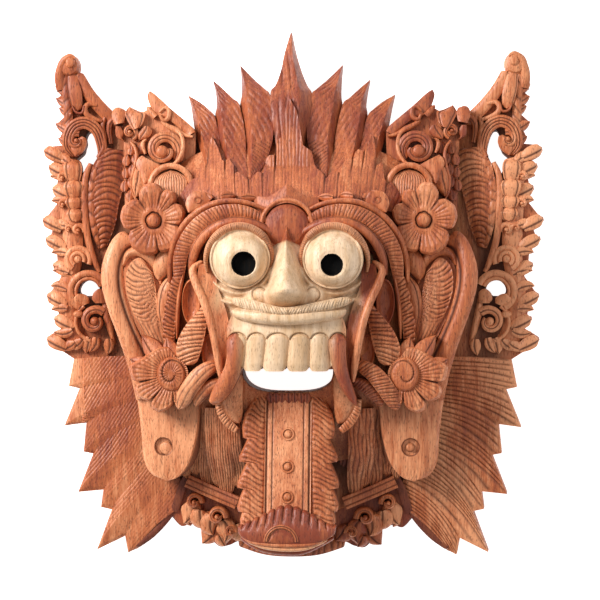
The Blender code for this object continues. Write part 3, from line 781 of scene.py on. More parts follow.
class MASK_OT_face(bpy.types.Operator):
    """Carves the sapwood face: cheeks, nose, moustache and lip"""
    bl_idname = "mask.face"
    bl_label = "Face"

    def execute(self, context):
        work = Carving()
        x, y = np.meshgrid(np.linspace(-68, 68, 200), np.linspace(58, -32, 140))
        outside = np.clip(((np.abs(x) / 68) ** 4 + (np.abs(y - 16) / 49) ** 4) - 0.8, 0, 1)
        grid = np.stack([x, y, face_height(x, y) - 26.0 * outside], axis=2)
        crest = 1 - 0.75 * nostril(x, y, 0.6) - 0.3 * cleft(x, y, 0.6)

        def sapwood(points):
            px, py = np.abs(points[..., 0]), points[..., 1]
            bridge = soft(py + 0.15 * px, 37.5, 44)
            cheek = soft(px - 0.5 * (py + 15), 45, 54)
            # Painted shade: the underside of the nose's tip has less sapwood, so it is painted darker.
            shade = 0.36 * soft(-py - 0.1 * px, -2.5, 0.5) * soft(16 - px, 0, 4)
            return np.clip(1.0 - bridge - cheek - shade, 0, 1)

        wall_in(work, grid, crest, 70, 0.72, sapwood)

        def lip_sap(points):
            return 0.3 + 0.7 * soft(-np.abs(points[..., 0]), -53, -46)

        for side in work.sides():
            moustache = [(-2, -13.8, 125, 3), (8, -13.4, 124.5, 3.4), (20, -11.4, 122, 3.9),
                         (34, -8.6, 118, 4), (44, -6.4, 114, 3.6), (51, -4.6, 109, 2)]
            if side == -1:
                moustache = [(x * 0.84, y, z + 0.8, half) for x, y, z, half in moustache]
            strap(work, moustache, ribs(2.2, 1.1, 0.65, 0.2, 0.5), 2.6, sap=lip_sap, tone=0.5, step=0.4,
                  across=13, base=94, ends=(0, 3))
        lip = [(-43, -13.6, 111, 3), (-36, -15.8, 116, 4.6), (-20, -18, 122.5, 5.4), (0, -19.2, 124.5, 5.4),
               (20, -18, 122.5, 5.4), (38, -15.8, 115.4, 4.8), (47, -13, 109, 3)]
        strap(work, lip, lined(0.6, 0.07, -0.66), 5, 2.8, sap=lip_sap, tone=0.6, across=17, base=92,
              ends=(5, 5))
        set_out(work.mesh("mask_face"))
        return {"FINISHED"}


class MASK_OT_eyes(bpy.types.Operator):
    """Carves the bulging eyes in their rings, and stains the pupils"""
    bl_idname = "mask.eyes"
    bl_label = "Eyes"

    def execute(self, context):
        work, dark = Carving(), Carving()
        bulge = [(11, 120.6), (13.5, 119.8), (16.5, 117.6), (19, 114.8), (20.8, 112.2), (21.6, 111.2),
                 (22.1, 111.2), (22.6, 112), (23.2, 112), (23.7, 110.6), (24, 104)]

        def ring(share, turn):
            return 0, 1 - 0.35 * line_at(share, 0.91, 0.012)

        def ragged(turn):
            return 1 + 0.014 * np.sin(7 * turn) + 0.012 * np.sin(17 * turn + 1)

        for side in work.sides():
            drift = [(pupil - eye) / 0.61 for pupil, eye in zip(PUPILS[side], EYE)]
            share = PUPIL_SIZES[side]
            profile = [(0, 111), (8.9 * share, 111), (9.1 * share, 118.6), (9.5 * share, 120.2), *bulge]
            glow = (PUPILS[side][0] - 3.0 * side, PUPILS[side][1] - 10)

            def warm(points):
                return 1 - 0.3 * np.exp(-((points[..., :2] - glow) ** 2).sum(axis=-1) / 60)

            turned(work, EYE, profile, ring, drift=drift, sectors=96, base=90, tone=0.3, step=0.7, sap=warm)
            cup = [(0, 112.6), (7.7, 112.8), (8.2, 113.8), (8.4, 119.2), (9.3, 120.5), (9.7, 120)]
            cup = [(radius * share, height) for radius, height in cup]
            dark.side = side
            turned(dark, PUPILS[side], cup, edge=ragged, sectors=72, base=110, step=0.8)
        set_out(work.mesh("mask_eyes"))
        set_out(dark.mesh("mask_pupils"), material=black_stain())
        return {"FINISHED"}


class MASK_OT_teeth(bpy.types.Operator):
    """Carves the gum with its arches, four front teeth under them, and the two fangs"""
    bl_idname = "mask.teeth"
    bl_label = "Teeth and fangs"

    def execute(self, context):
        work = Carving()
        column, row = np.meshgrid(np.linspace(-1, 1, 187), np.linspace(0, 1, 84))
        top = -19.5 + 3.0 * soft(np.abs(column), 0.76, 1)
        y = top - (60.8 + top) * row
        x = column * np.interp(y, [-62, -58, -46, -36, -28, -22, -17],
                               [34.4, 34.6, 41, 46.5, 46.8, 45.4, 43])
        u, half, below = teeth_marks(x, y)
        y = y + soft(row, 0.84, 1) * 4.6 * np.abs(u) ** 7 * soft(33.5 - np.abs(x), -2, 0)
        front = 113.0 - 0.0046 * np.abs(x) ** 2
        bulge = 3.4 * np.clip(1 - np.abs(u) ** 2.4, 0, 1) ** 0.9 - 0.6 - 1.2 * soft(-y, 54, 61)
        tooth = front + bulge * soft(below, -0.3, 3) + 1.2
        gum = front + 2.6 + 0.8 * soft(-y, 22, 32)
        share = soft(below, -0.5, 0.5)
        z = gum * (1 - share) + tooth * share
        between = line_at((1 - np.abs(u)) * half, 0, 0.6) * (below > 0) * soft(-y, 33, 38)
        line = np.clip(line_at(below, 0, 0.55) + 0.2 * between, 0, 1)
        grid = np.stack([x, y, z - 0.9 * line], axis=2)
        foot = 84.0
        back = grid[[0, -1]].copy()
        back[0, :, 1], back[1, :, 1], back[:, :, 2] = -21, -54, foot
        grid = np.concatenate([back[:1], grid, back[1:]])
        crest = np.pad(1 - 0.6 * line, ((1, 1), (0, 0)))

        def sapwood(points):
            px, py = np.abs(points[..., 0]), points[..., 1]
            return np.clip(0.95 + 0.08 * soft(-py, 46, 58) - 0.19 * soft(-py, 34, 42)
                           - 0.62 * soft(px, 35, 46), 0, 1)

        wall_in(work, grid, crest, foot, 0.35, sapwood)

        def fang_sap(points):
            return np.clip(0.28 - (points[..., 0] - 38) * 0.04, 0, 0.4)

        for side in work.sides():
            fang = [(39.4, -31, 110, 6.8), (39.7, -38, 113, 7), (40.4, -48, 114, 6.4)]
            if side == 1:
                fang += [(42.2, -58, 113, 5.6), (44.9, -67, 111, 4.9), (48.2, -75, 108.5, 4.1),
                         (51.8, -82.5, 105, 2.9), (54.4, -87.4, 102, 0.9)]
            else:
                fang += [(42, -58, 113, 6.4), (45.8, -67, 111, 6.6), (50.5, -75, 108, 6.6),
                         (55.5, -81.5, 104, 5.6), (60.2, -86.2, 100, 2.6)]
            # Painted shade: the right fang is painted darker than the left one.
            strap(work, fang, None, 3.6, 2.2, base=80, tone=0.95 if side == 1 else 0.58, across=17, step=0.7,
                  ends=(6.6, 0), sap=fang_sap)
        set_out(work.mesh("mask_teeth"))
        return {"FINISHED"}


def leaf(work, root, angle, length, half, heights, bend=0, cut=None, **kept):
    """A leaf: it sets out at an angle, bends by so many degrees on the way, swells and comes to a point."""
    share = np.linspace(0, 1, 7)
    turn = np.radians(angle + bend * share)
    turn = (turn[1:] + turn[:-1]) / 2
    x, y = (start + np.concatenate([[0], np.cumsum(way)]) * length / 6
            for start, way in zip(root, (np.cos(turn), np.sin(turn))))
    width = half * np.array([0.55, 0.85, 1, 0.97, 0.8, 0.5, 0.06])
    z = heights[0] + (heights[1] - heights[0]) * share
    strap(work, np.stack([x, y, z, width], axis=1), cut, **{"fall": 1.4, "step": 0.7, **kept})


def blade(work, left, right, heights, rise=1, cut=None, **kept):
    """A flat leaf between two edges of x, y points; its height runs evenly from one end to the other."""
    edges = [[(x, y, heights[0] + (heights[1] - heights[0]) * k / (len(edge) - 1))
              for k, (x, y) in enumerate(edge)] for edge in (left, right)]
    plate(work, *edges, rise, cut, **{"rows": 50, "across": 15, **kept})


def arc(work, points, heights, halves, cut=None, **kept):
    """A strap through x, y points, with heights and half widths spread evenly along it."""
    share = np.linspace(0, 1, len(points))
    height, half = (np.interp(share, np.linspace(0, 1, len(values)), values) for values in (heights, halves))
    strap(work, np.column_stack([np.array(points, float), height, half]), cut, **kept)


def snail(work, centre, radius, turns, heights, half, cut=None, ball=0, **kept):
    """A scroll that winds in from its outer radius and rises to a small ball."""
    inner = max(half * 0.9, ball)
    strap(work, spiral(centre, (radius, inner), turns, heights, (half, half * 0.62), 20), cut, **kept)
    if ball:
        kept = {title: kept[title] for title in ("base", "tone", "sap") if title in kept}
        dome = [(0, heights[1] + 1.6), (ball * 0.5, heights[1] + 1.3), (ball * 0.85, heights[1]),
                (ball, heights[1] - 2)]
        turned(work, centre, dome, sectors=28, **kept)


class MASK_OT_brows(bpy.types.Operator):
    """Carves the lids, the brows with their ribs, and the forehead ornament"""
    bl_idname = "mask.brows"
    bl_label = "Lids and brows"

    def execute(self, context):
        work = Carving()
        crest = [(-26.5, 73.5, 94), (-24.2, 77, 93), (-15, 76.5, 96), (-8, 80.5, 97.5), (0, 86.6, 98.5),
                 (8, 81, 97.5), (15, 77, 96), (24.2, 76.2, 93), (25.5, 71, 94)]
        foot = both([(0, 71.4, 102), (10.5, 68.5, 100.5), (17, 62.5, 97), (20.5, 58, 94)])
        plate(work, crest, foot, 1, lined(0.8, 0.07, 0.62), tone=0.68, rows=90, across=25,
              smooth=(False, True))
        strap(work, spiral((0, 53.5), (20.2, 20.2), (176, 4), (102.6, 102.6), (1.7, 1.7)), None, 1.4, 2,
              tone=0.42, across=11, base=80)
        dome = [(0, 104.6), (8, 104.2), (14, 102.8), (17.2, 100.6), (18.2, 96.5)]
        turned(work, (0, 53.2), dome, sectors=72, base=80, tone=0.85)
        for _ in work.sides():
            lid = np.concatenate([spiral(EYE, (24.6, 25), (226, 150), (104, 112), (0.8, 2.3), 6),
                                  spiral(EYE, (25.2, 25.4), (135, 45), (115, 115.4), (2.9, 3), 6),
                                  spiral(EYE, (25.8, 28.6), (28, -22), (111.5, 103), (2.8, 1), 5)])
            strap(work, lid, ribs(1.5, 0.35, 0, 0.25), 2.2, 2, tone=0.5, sap=0.3, step=0.4, base=86,
                  across=13)
            fold = [(7.5, 42.5, 101, 1.8), (12, 48.2, 103, 2.6), (20, 53.2, 105, 3), (31, 56.6, 107, 3.2),
                    (42.5, 57.2, 107.5, 3.3), (54.5, 53.8, 106.5, 3.4), (65, 46, 103.5, 3.6),
                    (72.2, 36, 99, 3.6), (76.2, 25, 93, 3), (77.8, 15, 87, 1.4)]
            strap(work, fold, lined(0.6, 0.1, -0.8), 2.2, 2.6, tone=0.72, across=17, base=78, bank=0.8)
            brow = [(14.5, 55.5, 99, 2.2), (20.5, 59.8, 102, 3.4), (31, 64.2, 104, 4.4),
                    (43, 65.6, 104.5, 4.9), (56.5, 63, 103.5, 5.4), (69.4, 55.4, 100, 5.8),
                    (79, 44, 95.5, 6), (84.8, 32, 90, 5.8), (87, 20, 85.5, 5), (87.8, 10, 82, 3.8)]
            strap(work, brow, ribs(2.8, 1, 0.25, 0.14, 0.5), 1.4, 2.6, tone=0.6, step=0.5, across=11,
                  base=72)
            rim = [(17, 66.5, 100, 1.4), (30, 71.2, 102, 1.9), (44, 73, 102.5, 2.1), (58.5, 71, 101.8, 2.2),
                   (73, 63.6, 98.5, 2.3), (84.2, 52, 94, 2.3), (91.4, 38.5, 88, 2.2), (94.6, 24, 83, 2.1),
                   (95.4, 9, 79, 1.6)]
            strap(work, rim, None, 1.5, 2, tone=0.62, across=7, base=70)
            side = [(88.4, 16, 82, 3.2), (90.6, 5, 82.5, 4.6), (93.4, -7, 80.5, 5.2), (95.8, -20, 78, 5.2),
                    (96.6, -32, 76, 5), (96, -43, 73, 3.6)]
            strap(work, side, ribs(3.3, 1.6, -0.35, 0.06, 0.75), 1.2, 2.6, tone=0.5, step=0.45, across=11,
                  base=60, lobes=(11.5, 0.34, -1))
            for x, y, angle, length, half, bend in ((36, 76, 172, 13, 3, 20), (52, 77, 168, 11, 3.4, 15),
                                                    (60, 75, 35, 12, 3.2, -30)):
                leaf(work, (x, y), angle, length, half, (97, 93), bend, lined(0.6, 0.15, 0.3), fall=1,
                     tone=0.6, base=70)
            blade(work, [(63.5, 79), (61, 74), (67, 69), (77, 64)],
                  [(67, 81.5), (76, 80), (80.5, 72), (78.5, 64.5)], (95, 96.5), 1.4, tone=0.5, base=70)
            turned(work, (71, 74), [(0, 95.6), (1.4, 95.6), (1.9, 97.8), (2.7, 97.9), (3.2, 96.6)],
                   sectors=24, base=70, tone=0.8, step=0.4)
        set_out(work.mesh("mask_brows"))
        return {"FINISHED"}


class MASK_OT_cheeks(bpy.types.Operator):
    """Carves the flaps beside the mouth, the combs and curls of the cheeks, and the jaw"""
    bl_idname = "mask.cheeks"
    bl_label = "Cheeks and jaw"

    def execute(self, context):
        work = Carving()

        def pale(points):
            x, y = points[..., 0], points[..., 1]
            return 0.5 * soft(-x - 0.35 * y, -66, -52) * soft(y, -30, 0)

        for side in work.sides():
            # Painted light: the left half is painted lighter than the right as the key light falls from the
            # left, and the right flap's inner plate is painted darker as painted shade.
            work.painted_side_light = -0.04 if side == 1 else -0.3
            ridge = [(67, 26, 95, 1.6), (74.5, 19.5, 99, 2.8), (72.5, 9.5, 102, 3.2), (65.5, -6, 104.5, 3.2),
                     (60, -22, 106, 3.2), (55.8, -42, 106, 3), (53.2, -58, 104, 2.7), (51.8, -70, 100, 1.4)]
            strap(work, ridge, None, 2.2, 2, tone=0.45, across=11, base=78, ends=(2, 2))
            inner = [(58, 26, 94), (58, 8, 97), (51, -12, 100), (47.5, -28, 101), (46.5, -45, 99),
                     (49.5, -68, 95)]
            if side == -1:
                inner = [(x - 2.6, y, z) for x, y, z in inner]
            outer = [(70, 23, 96), (70.5, 9, 100), (63.5, -6, 103), (58, -22, 104.5), (54, -42, 104.5),
                     (51.5, -69, 99)]
            plate(work, inner, outer, -1.2, None, base=80, tone=0.95 if side == 1 else 0.6, rows=70,
                  across=13, sap=pale)
            comb = [(63.5, -6, 88, 1.6), (68, -17, 91, 5), (74.5, -31, 92, 9), (79, -44, 91, 10),
                    (80.5, -57, 87, 7)]
            strap(work, comb, ribs(3.7, 1.9, 0.5, 0.05, 0.75), 2.6, 2.2, tone=0.45, step=0.5, across=13,
                  ends=(2, 5))
            rim = [(83.5, 17, 83, 0.8), (86.2, 6, 83, 1.5), (88.2, -8, 82, 1.6), (89.2, -22, 80.5, 1.4),
                   (89.6, -36, 79, 0.6)]
            strap(work, rim, None, 1.8, 2, tone=0.7, across=7)
            hollow = [(0, 79), (5, 79.6), (8.5, 82.5), (9.6, 85), (10.4, 84)]
            turned(work, (77.3, -6.5), hollow, sectors=48, squash=(0.72, 1.75), base=70, tone=0.85)
            turned(work, (63, -46), [(0, 80), (5, 81), (6.8, 84.5), (7.4, 84)], sectors=40,
                   squash=(0.8, 1.9), base=70, tone=0.8)
            jaw = [(41, -62, 90, 5), (43.5, -74, 88, 7.5), (45, -86, 85, 8.4), (43, -97, 80, 6.5),
                   (39.5, -104, 76, 2.5)]
            strap(work, jaw, None, 4, 2.2, tone=0.35, across=15, base=60, ends=(3, 4))
            edge = [(56.5, -84, 82, 2), (54.5, -94, 81, 3), (49, -103, 78, 3.4), (41.5, -110, 75, 2.6)]
            strap(work, edge, ribs(2.6, 0.9, 0.2), 1.2, 2, tone=0.35, step=0.45, across=9, base=56)
            swoosh = [(54, -56, 90, 3), (60, -58, 94, 5.4), (68.5, -63.5, 95, 6.6), (76.5, -73, 94, 7),
                      (83.5, -84, 90, 6.4), (87.5, -92, 86, 3.6)]
            ribbed = side == 1
            cut = ribs(2.9, 1.2, 0.5, 0.08, 0.6) if ribbed else flutes(3, 0.5, 0.6, 0.2, 0.1)
            strap(work, swoosh, cut, 3, 2.2, tone=0.6 if ribbed else 0.45, step=0.45, across=17, ends=(4, 4),
                  base=66)
            hook = [(50, -69, 88, 3), (57, -71.5, 90, 4.6), (65, -76, 90, 5.2), (71.5, -83.5, 87, 4.4),
                    (74, -90, 84, 2)]
            cut = ribs(2.6, 0.9, 0.4, 0.1, 0.6) if ribbed else flutes(2, 0.5, 0.6, 0.1, 0.1)
            strap(work, hook, cut, 3, 2, tone=0.95 if ribbed else 0.5, step=0.45, across=15, ends=(3, 3),
                  base=62)
        set_out(work.mesh("mask_cheeks"))
        return {"FINISHED"}


def slanting(u, way, half):
    """Strokes that climb across a facet: grooves of phase way / 10 - 2.4 u + sway, of varied depth."""
    sway = 0.16 * np.sin(0.09 * way + 1.7 * u) + 0.07 * np.sin(0.37 * way - 2.0 * u)
    return grooves(0.10 * way - 2.4 * u + sway, 0.42) * (0.7 + 0.3 * np.sin(0.19 * way + 3.0 * u))


def standing(u, way, half):
    """Wavy strokes that stand upright, a few millimetres apart."""
    x = u * half
    sway = 0.28 * np.sin(0.11 * way + 0.35 * x)
    return grooves(x / 4.3 + sway, 0.6) * (0.6 + 0.4 * np.sin(0.13 * way + x))


def flame(work, left, right, ridge, falls, tone, base, strokes=slanting, comb=0):
    """A crown spike between two edges: a roof that falls from its ridge at u, by falls, to its edges.

    Strokes cross it, and short ribs take their place on the broad facet up to the comb's length.
    """
    def cut(u, way, half, length):
        broad = u < ridge
        roof = np.where(broad, falls[0] * (ridge - u) / (1 + ridge), falls[1] * (u - ridge) / (1 - ridge))
        low = strokes(u, way, half) * np.where(broad, 1, 0.4)
        if comb:
            short = soft(comb - way, -3, 3) * broad
            low = low * (1 - short) + 1.15 * grooves((way - 7.0 * u) / 2.9, 0.7) * short
        fade = np.clip(half / 4, 0, 1)
        hewn = 0.16 * np.sin(0.55 * way + 4.0 * u) * np.sin(0.31 * way - 6.0 * u)
        return (-roof - 1.05 * low + hewn) * fade, 1 - 0.8 * low * fade
    plate(work, left, right, 0, cut, base=base, tone=tone, rows=100, across=31)


class MASK_OT_crown(bpy.types.Operator):
    """Carves the seven spikes of the crown and the combs at their feet"""
    bl_idname = "mask.crown"
    bl_label = "Crown"

    def execute(self, context):
        work = Carving()
        left = [(-10, 112, 58), (-12.5, 130, 58), (-15.5, 150, 55), (-16, 165, 50), (-12, 171, 47),
                (-8, 183.5, 42), (-5.2, 199, 36), (-0.5, 216, 29.5)]
        right = [(10, 112, 58), (13.5, 130, 58), (17, 150, 55), (17.4, 164.2, 50), (13.6, 171, 47),
                 (8.8, 183, 42), (3.8, 199.5, 36), (0.3, 216, 29.5)]
        flame(work, left, right, 0.42, (2.5, 9.5), 0.86, 14, standing)
        spikes = (([(28, 90, 75), (22.5, 101, 67), (19, 108, 61), (14.2, 125, 56), (13.6, 148, 49),
                    (17.4, 164, 45), (20.5, 167.3, 43.5), (30, 176.4, 36), (42.2, 189, 28)],
                   [(31, 90, 75), (33.5, 101, 67), (35.5, 112, 59), (37.5, 130, 52), (42, 152, 44),
                    (41, 165, 40), (41.6, 178, 34), (42.6, 189, 28)]),
                  ([(32, 90, 74), (34.5, 101, 66), (36, 112, 57), (37, 130, 49), (42.3, 154.8, 42),
                    (48.4, 161.3, 38.5), (56.4, 169.3, 33), (64.8, 176.8, 27)],
                   [(50, 94, 71), (56, 112, 55), (59.5, 126, 49), (62.8, 146, 41), (61.8, 156, 37),
                    (63.2, 167, 31), (65.2, 176.9, 27)]),
                  ([(55, 98, 64), (57.5, 118, 51), (59.2, 132, 44), (63.2, 146.6, 40), (68, 152, 37),
                    (75, 158, 34), (85.3, 164.4, 27)],
                   [(70, 102, 58), (75, 120, 48), (79.5, 134.6, 41), (81.8, 146, 35.5), (83.8, 156, 30),
                    (85.8, 164.6, 27)]))
        for _ in work.sides():
            for k, (one, two) in enumerate(spikes):
                flame(work, one, two, 0.48, (3.2, 9.6 - k), 0.92 - 0.05 * k, 12, comb=34.0 if k == 0 else 0)
        set_out(work.mesh("mask_crown"))
        return {"FINISHED"}


# The torn edge of the fringe from left to right: the tips of its tufts and the dips between them

HAIR_EDGE = ((-90.9, 76.7), (-81.8, 89.2), (-78.4, 92.6), (-73.8, 94.3), (-71.6, 105.1), (-67.6, 104),
             (-66.4, 123.3), (-64.2, 128.7), (-59.1, 119.9), (-54.5, 108.3), (-52.3, 107.4), (-49.4, 110.2),
             (-44.9, 104), (-43.7, 96.9), (-40.9, 98.3), (-35.2, 93.8), (-31.3, 90.6), (-28.4, 94.9),
             (-25, 98.3), (-20.5, 96.9), (-18.8, 108.5), (-15.9, 111.9), (-11.4, 111.7), (-10.3, 123.3),
             (-8, 125.5), (-5.1, 127.6), (-4, 144.8), (0, 158.5), (5.6, 148.2), (7.9, 138), (11.1, 119.9),
             (14.2, 117.6), (18.1, 114.8), (20.6, 104), (23.2, 100), (26.1, 98.3), (30, 92.1), (33.5, 96.6),
             (37.4, 98.1), (40.8, 97.2), (43.7, 105.1), (47.6, 109.4), (51, 108.3), (53.3, 115.3),
             (55.6, 117.4), (60.1, 115.3), (63.5, 123.3), (67.5, 129), (69.2, 121), (70.3, 104),
             (74.9, 106.2), (76.6, 92.6), (79.4, 88.1), (82.3, 90.4), (86.2, 84.7), (91.9, 77.9))


class MASK_OT_hair(bpy.types.Operator):
    """Carves the fringe of hair that stands up over the forehead"""
    bl_idname = "mask.hair"
    bl_label = "Hair"

    def execute(self, context):
        work = Carving()
        top = np.array(HAIR_EDGE)
        rails = [[(x * 0.93, 66, 0) for x, _ in HAIR_EDGE], [(x, y, 0) for x, y in HAIR_EDGE]]
        notch = (top[1:-1, 1] < top[:-2, 1]) & (top[1:-1, 1] < top[2:, 1])
        dips = top[1:-1][notch]
        rise = np.concatenate([[0], np.tile([1.7, 0], len(dips))])[:2 * len(dips) - 1]
        steps = np.sort(np.concatenate([dips[:, 0], dips[1:, 0] - 0.8]))

        def tufts(share, way, x, y):
            slope = 66.5 - 0.2 * (y - 108) - 0.3 * np.clip(np.abs(x) - 15, 0, None)
            over = np.maximum(ground(x, y) + 6.5, slope)
            s = x / (0.93 + 0.07 * share)
            sway = 0.2 * np.sin(0.06 * y + 0.13 * s) + 0.10 * np.sin(0.17 * y - 0.4 * s)
            low = grooves(s / 2.9 + sway, 0.8) * (0.7 + 0.3 * np.sin(0.9 * s + 0.12 * y))
            lift = np.interp(s, steps, rise) * share ** 2
            bent = s - 0.7 * np.sin(0.12 * y)
            deep = sum(line_at(bent, dip_x, 0.55) * np.exp(-np.clip(dip_y - y, 0, None) / 16)
                       for dip_x, dip_y in dips)
            return over + lift - 0.6 * low - 1.4 * deep, 1 - np.clip(0.55 * low + 0.8 * deep, 0, 1)

        def shade(points):
            return 0.74 + 0.12 * np.sin(points[..., 0] * 0.11 + points[..., 1] * 0.05)

        sheet(work, rails, tufts, 38, shade, rows=360, across=38)
        set_out(work.mesh("mask_hair"))
        return {"FINISHED"}


class MASK_OT_panels(bpy.types.Operator):
    """Carves the scrolled and leafy panels that join the crown to the wings"""
    bl_idname = "mask.panels"
    bl_label = "Crown panels"

    def execute(self, context):
        work = Carving()
        work.base = 38
        for side in work.sides():
            # Painted light: the left half is painted lighter than the right, as the key light falls from the
            # left.
            work.painted_side_light = 0.05 if side == 1 else -0.28
            left = [(80, 40, 44), (79, 90, 43), (78, 132, 42), (96, 147, 41), (112, 160, 40)]
            right = [(121, 38, 44), (136, 60, 43), (137.5, 120, 42), (138, 145, 41), (118, 150, 40)]
            plate(work, left, right, 1, None, base=29.6, tone=0.66, smooth=(False, False), rows=60, across=9)
            left = [(78, 132.5), (81.4, 137.5), (98.1, 151.7), (108.9, 161.7), (114.7, 166.1),
                    (116.2, 166.3)]
            right = [(84.7, 128.3), (86.4, 131.7), (98.1, 141.3), (108.9, 145.9), (114.3, 152.5),
                     (117.6, 161.7), (116.3, 166.3)]
            blade(work, left, right, (48, 43), 1.2, base=32, tone=0.78)
            arc(work, [(79.7, 128.3), (86.4, 130), (93.9, 134.2), (100.6, 137.5), (105.6, 141.3)], (50, 49),
                (1, 2.2, 1.6), fall=1.2, tone=0.5)
            arc(work, [(107.2, 148.8), (102.2, 152.4), (99.1, 149.2), (99.9, 143.8), (104.1, 142.1),
                       (106.4, 145.9)], (49, 50.5), (1, 1.9, 1.2), fall=1, tone=0.6)
            arc(work, [(110.6, 145), (114.3, 149.2), (116.8, 152.5), (117.7, 153.8)], (48, 45),
                (2.4, 2.2, 0.4), fall=1.2, tone=0.7, base=32)
            blade(work, [(123.1, 135.9), (120.6, 140), (119.1, 147.7), (124.7, 150), (131.8, 153.4)],
                  [(128.1, 134.2), (131.4, 138.4), (135.2, 145.9), (134.8, 150), (132.4, 153.6)], (51, 45),
                  1.4, lined(0.6, 0.1, -0.7, 0.75), base=32, tone=0.7)
            blade(work, [(136.4, 140), (135.4, 145.9), (136.3, 150.9), (140.6, 153.1)],
                  [(143.9, 138.4), (146.3, 145), (145.8, 150), (143.5, 152.7), (140.8, 153.1)], (50, 44),
                  1.6, base=32, tone=0.72)
            blade(work, [(114.7, 136.7), (113.2, 132.5), (116.4, 127.9), (123.1, 125.8)],
                  [(118.9, 137.5), (123.1, 133.4), (124.7, 129.2), (123.9, 125.4)], (49, 47.5), 1.2,
                  lined(0.6, 0.15, 0.2), tone=0.8)
            snail(work, (131.4, 132.5), 5.6, (250, -170), (48.5, 51), 2, lined(0.5, 0.2, 0.1), ball=1.6,
                  tone=0.7, step=0.5, fall=0.9)
            blade(work, [(138.9, 136.7), (136.8, 131.7), (138.1, 127.9), (136.4, 125.4)],
                  [(143.1, 137.5), (143.5, 132.5), (142.3, 128.3), (136.8, 125.2)], (48, 46), 1.2, tone=0.84)
            strap(work, spiral((103.4, 117.6), (13.4, 4.2), (222, -190), (52, 57), (4.4, 4), 26),
                  lined(0.7, 0.1, -0.3, 0.35), 1.3, 2.4, tone=0.66, step=0.6, across=17, ends=(3, 4))
            turned(work, (104.2, 115.6), [(0, 58.4), (2.4, 58.2), (4.2, 57.2), (5.2, 55)], sectors=36,
                   tone=0.66, step=0.6)
            arc(work, [(93.9, 134.2), (88.9, 129.2), (87.4, 120), (90.1, 110.8), (96.8, 103.7),
                       (106.4, 99.6), (114.7, 91.7)], (50, 55, 60), (1.5, 1.3), fall=0.8, tone=0.35)
            arc(work, [(118.1, 114.2), (120.2, 120), (119.9, 124.2), (117.2, 126.3)], (54, 53),
                (1, 1.8, 0.4), fall=1, tone=0.5)
            blade(work, [(105.6, 104.6), (108.9, 100), (115.2, 90.8), (118.1, 89)],
                  [(120.6, 112.5), (123.7, 110), (125.1, 104.2), (121.6, 95), (118.5, 89)], (56, 58), 1.8,
                  tone=0.56)
            blade(work, [(118.1, 95), (116.4, 89.2), (119.7, 84.6), (124.7, 79.1)],
                  [(125.6, 102.5), (128.1, 95), (128.7, 86.7), (126.4, 79.1)], (57, 52), 1.8,
                  lined(0.7, 0.14, 0.3), tone=0.5)
            arc(work, [(130.6, 124.2), (126.8, 119.2), (125.4, 111.7), (127.1, 101.7), (129.6, 92.5),
                       (129.1, 84.1), (125.6, 76.6)], (51, 56, 52), (1.1, 1.3, 1), fall=0.8, tone=0.72)
            for x, y, angle, size, bend in ((122.5, 114.5, 75, 10.5, 30), (131.5, 114, 110, 9, -35),
                                            (127, 106, 95, 10, -40), (134.5, 105, 80, 10, 30),
                                            (129, 96.5, 70, 10.5, 35), (135.5, 95, 100, 9.5, -30),
                                            (130.5, 87, 95, 10, -35), (136, 84, 80, 10, 30),
                                            (132, 76, 85, 10, 25), (126.5, 82, 120, 8, -30)):
                leaf(work, (x, y), angle, size, size * 0.34, (47.5, 46), bend, lined(0.7, 0.14, 0.15),
                     fall=1.2, tone=0.88, base=36)
            strap(work, spiral((96.5, 87), (16.8, 16.8), (205, -30), (63, 62), (2.4, 2.2)), None, 1.4, 2,
                  tone=0.46, base=42, across=11)
            roll = [(96, 74, 64, 13.4), (96.5, 86, 63, 13.6), (96.5, 93, 61.5, 13.2), (96.5, 100.5, 59.5, 8)]
            strap(work, roll, flutes(13, 0.55, 0.8, 0, 0.1), 2, 2.4, tone=0.3, across=65, step=1, base=42,
                  ends=(0, 7))
        set_out(work.mesh("mask_panels"))
        return {"FINISHED"}


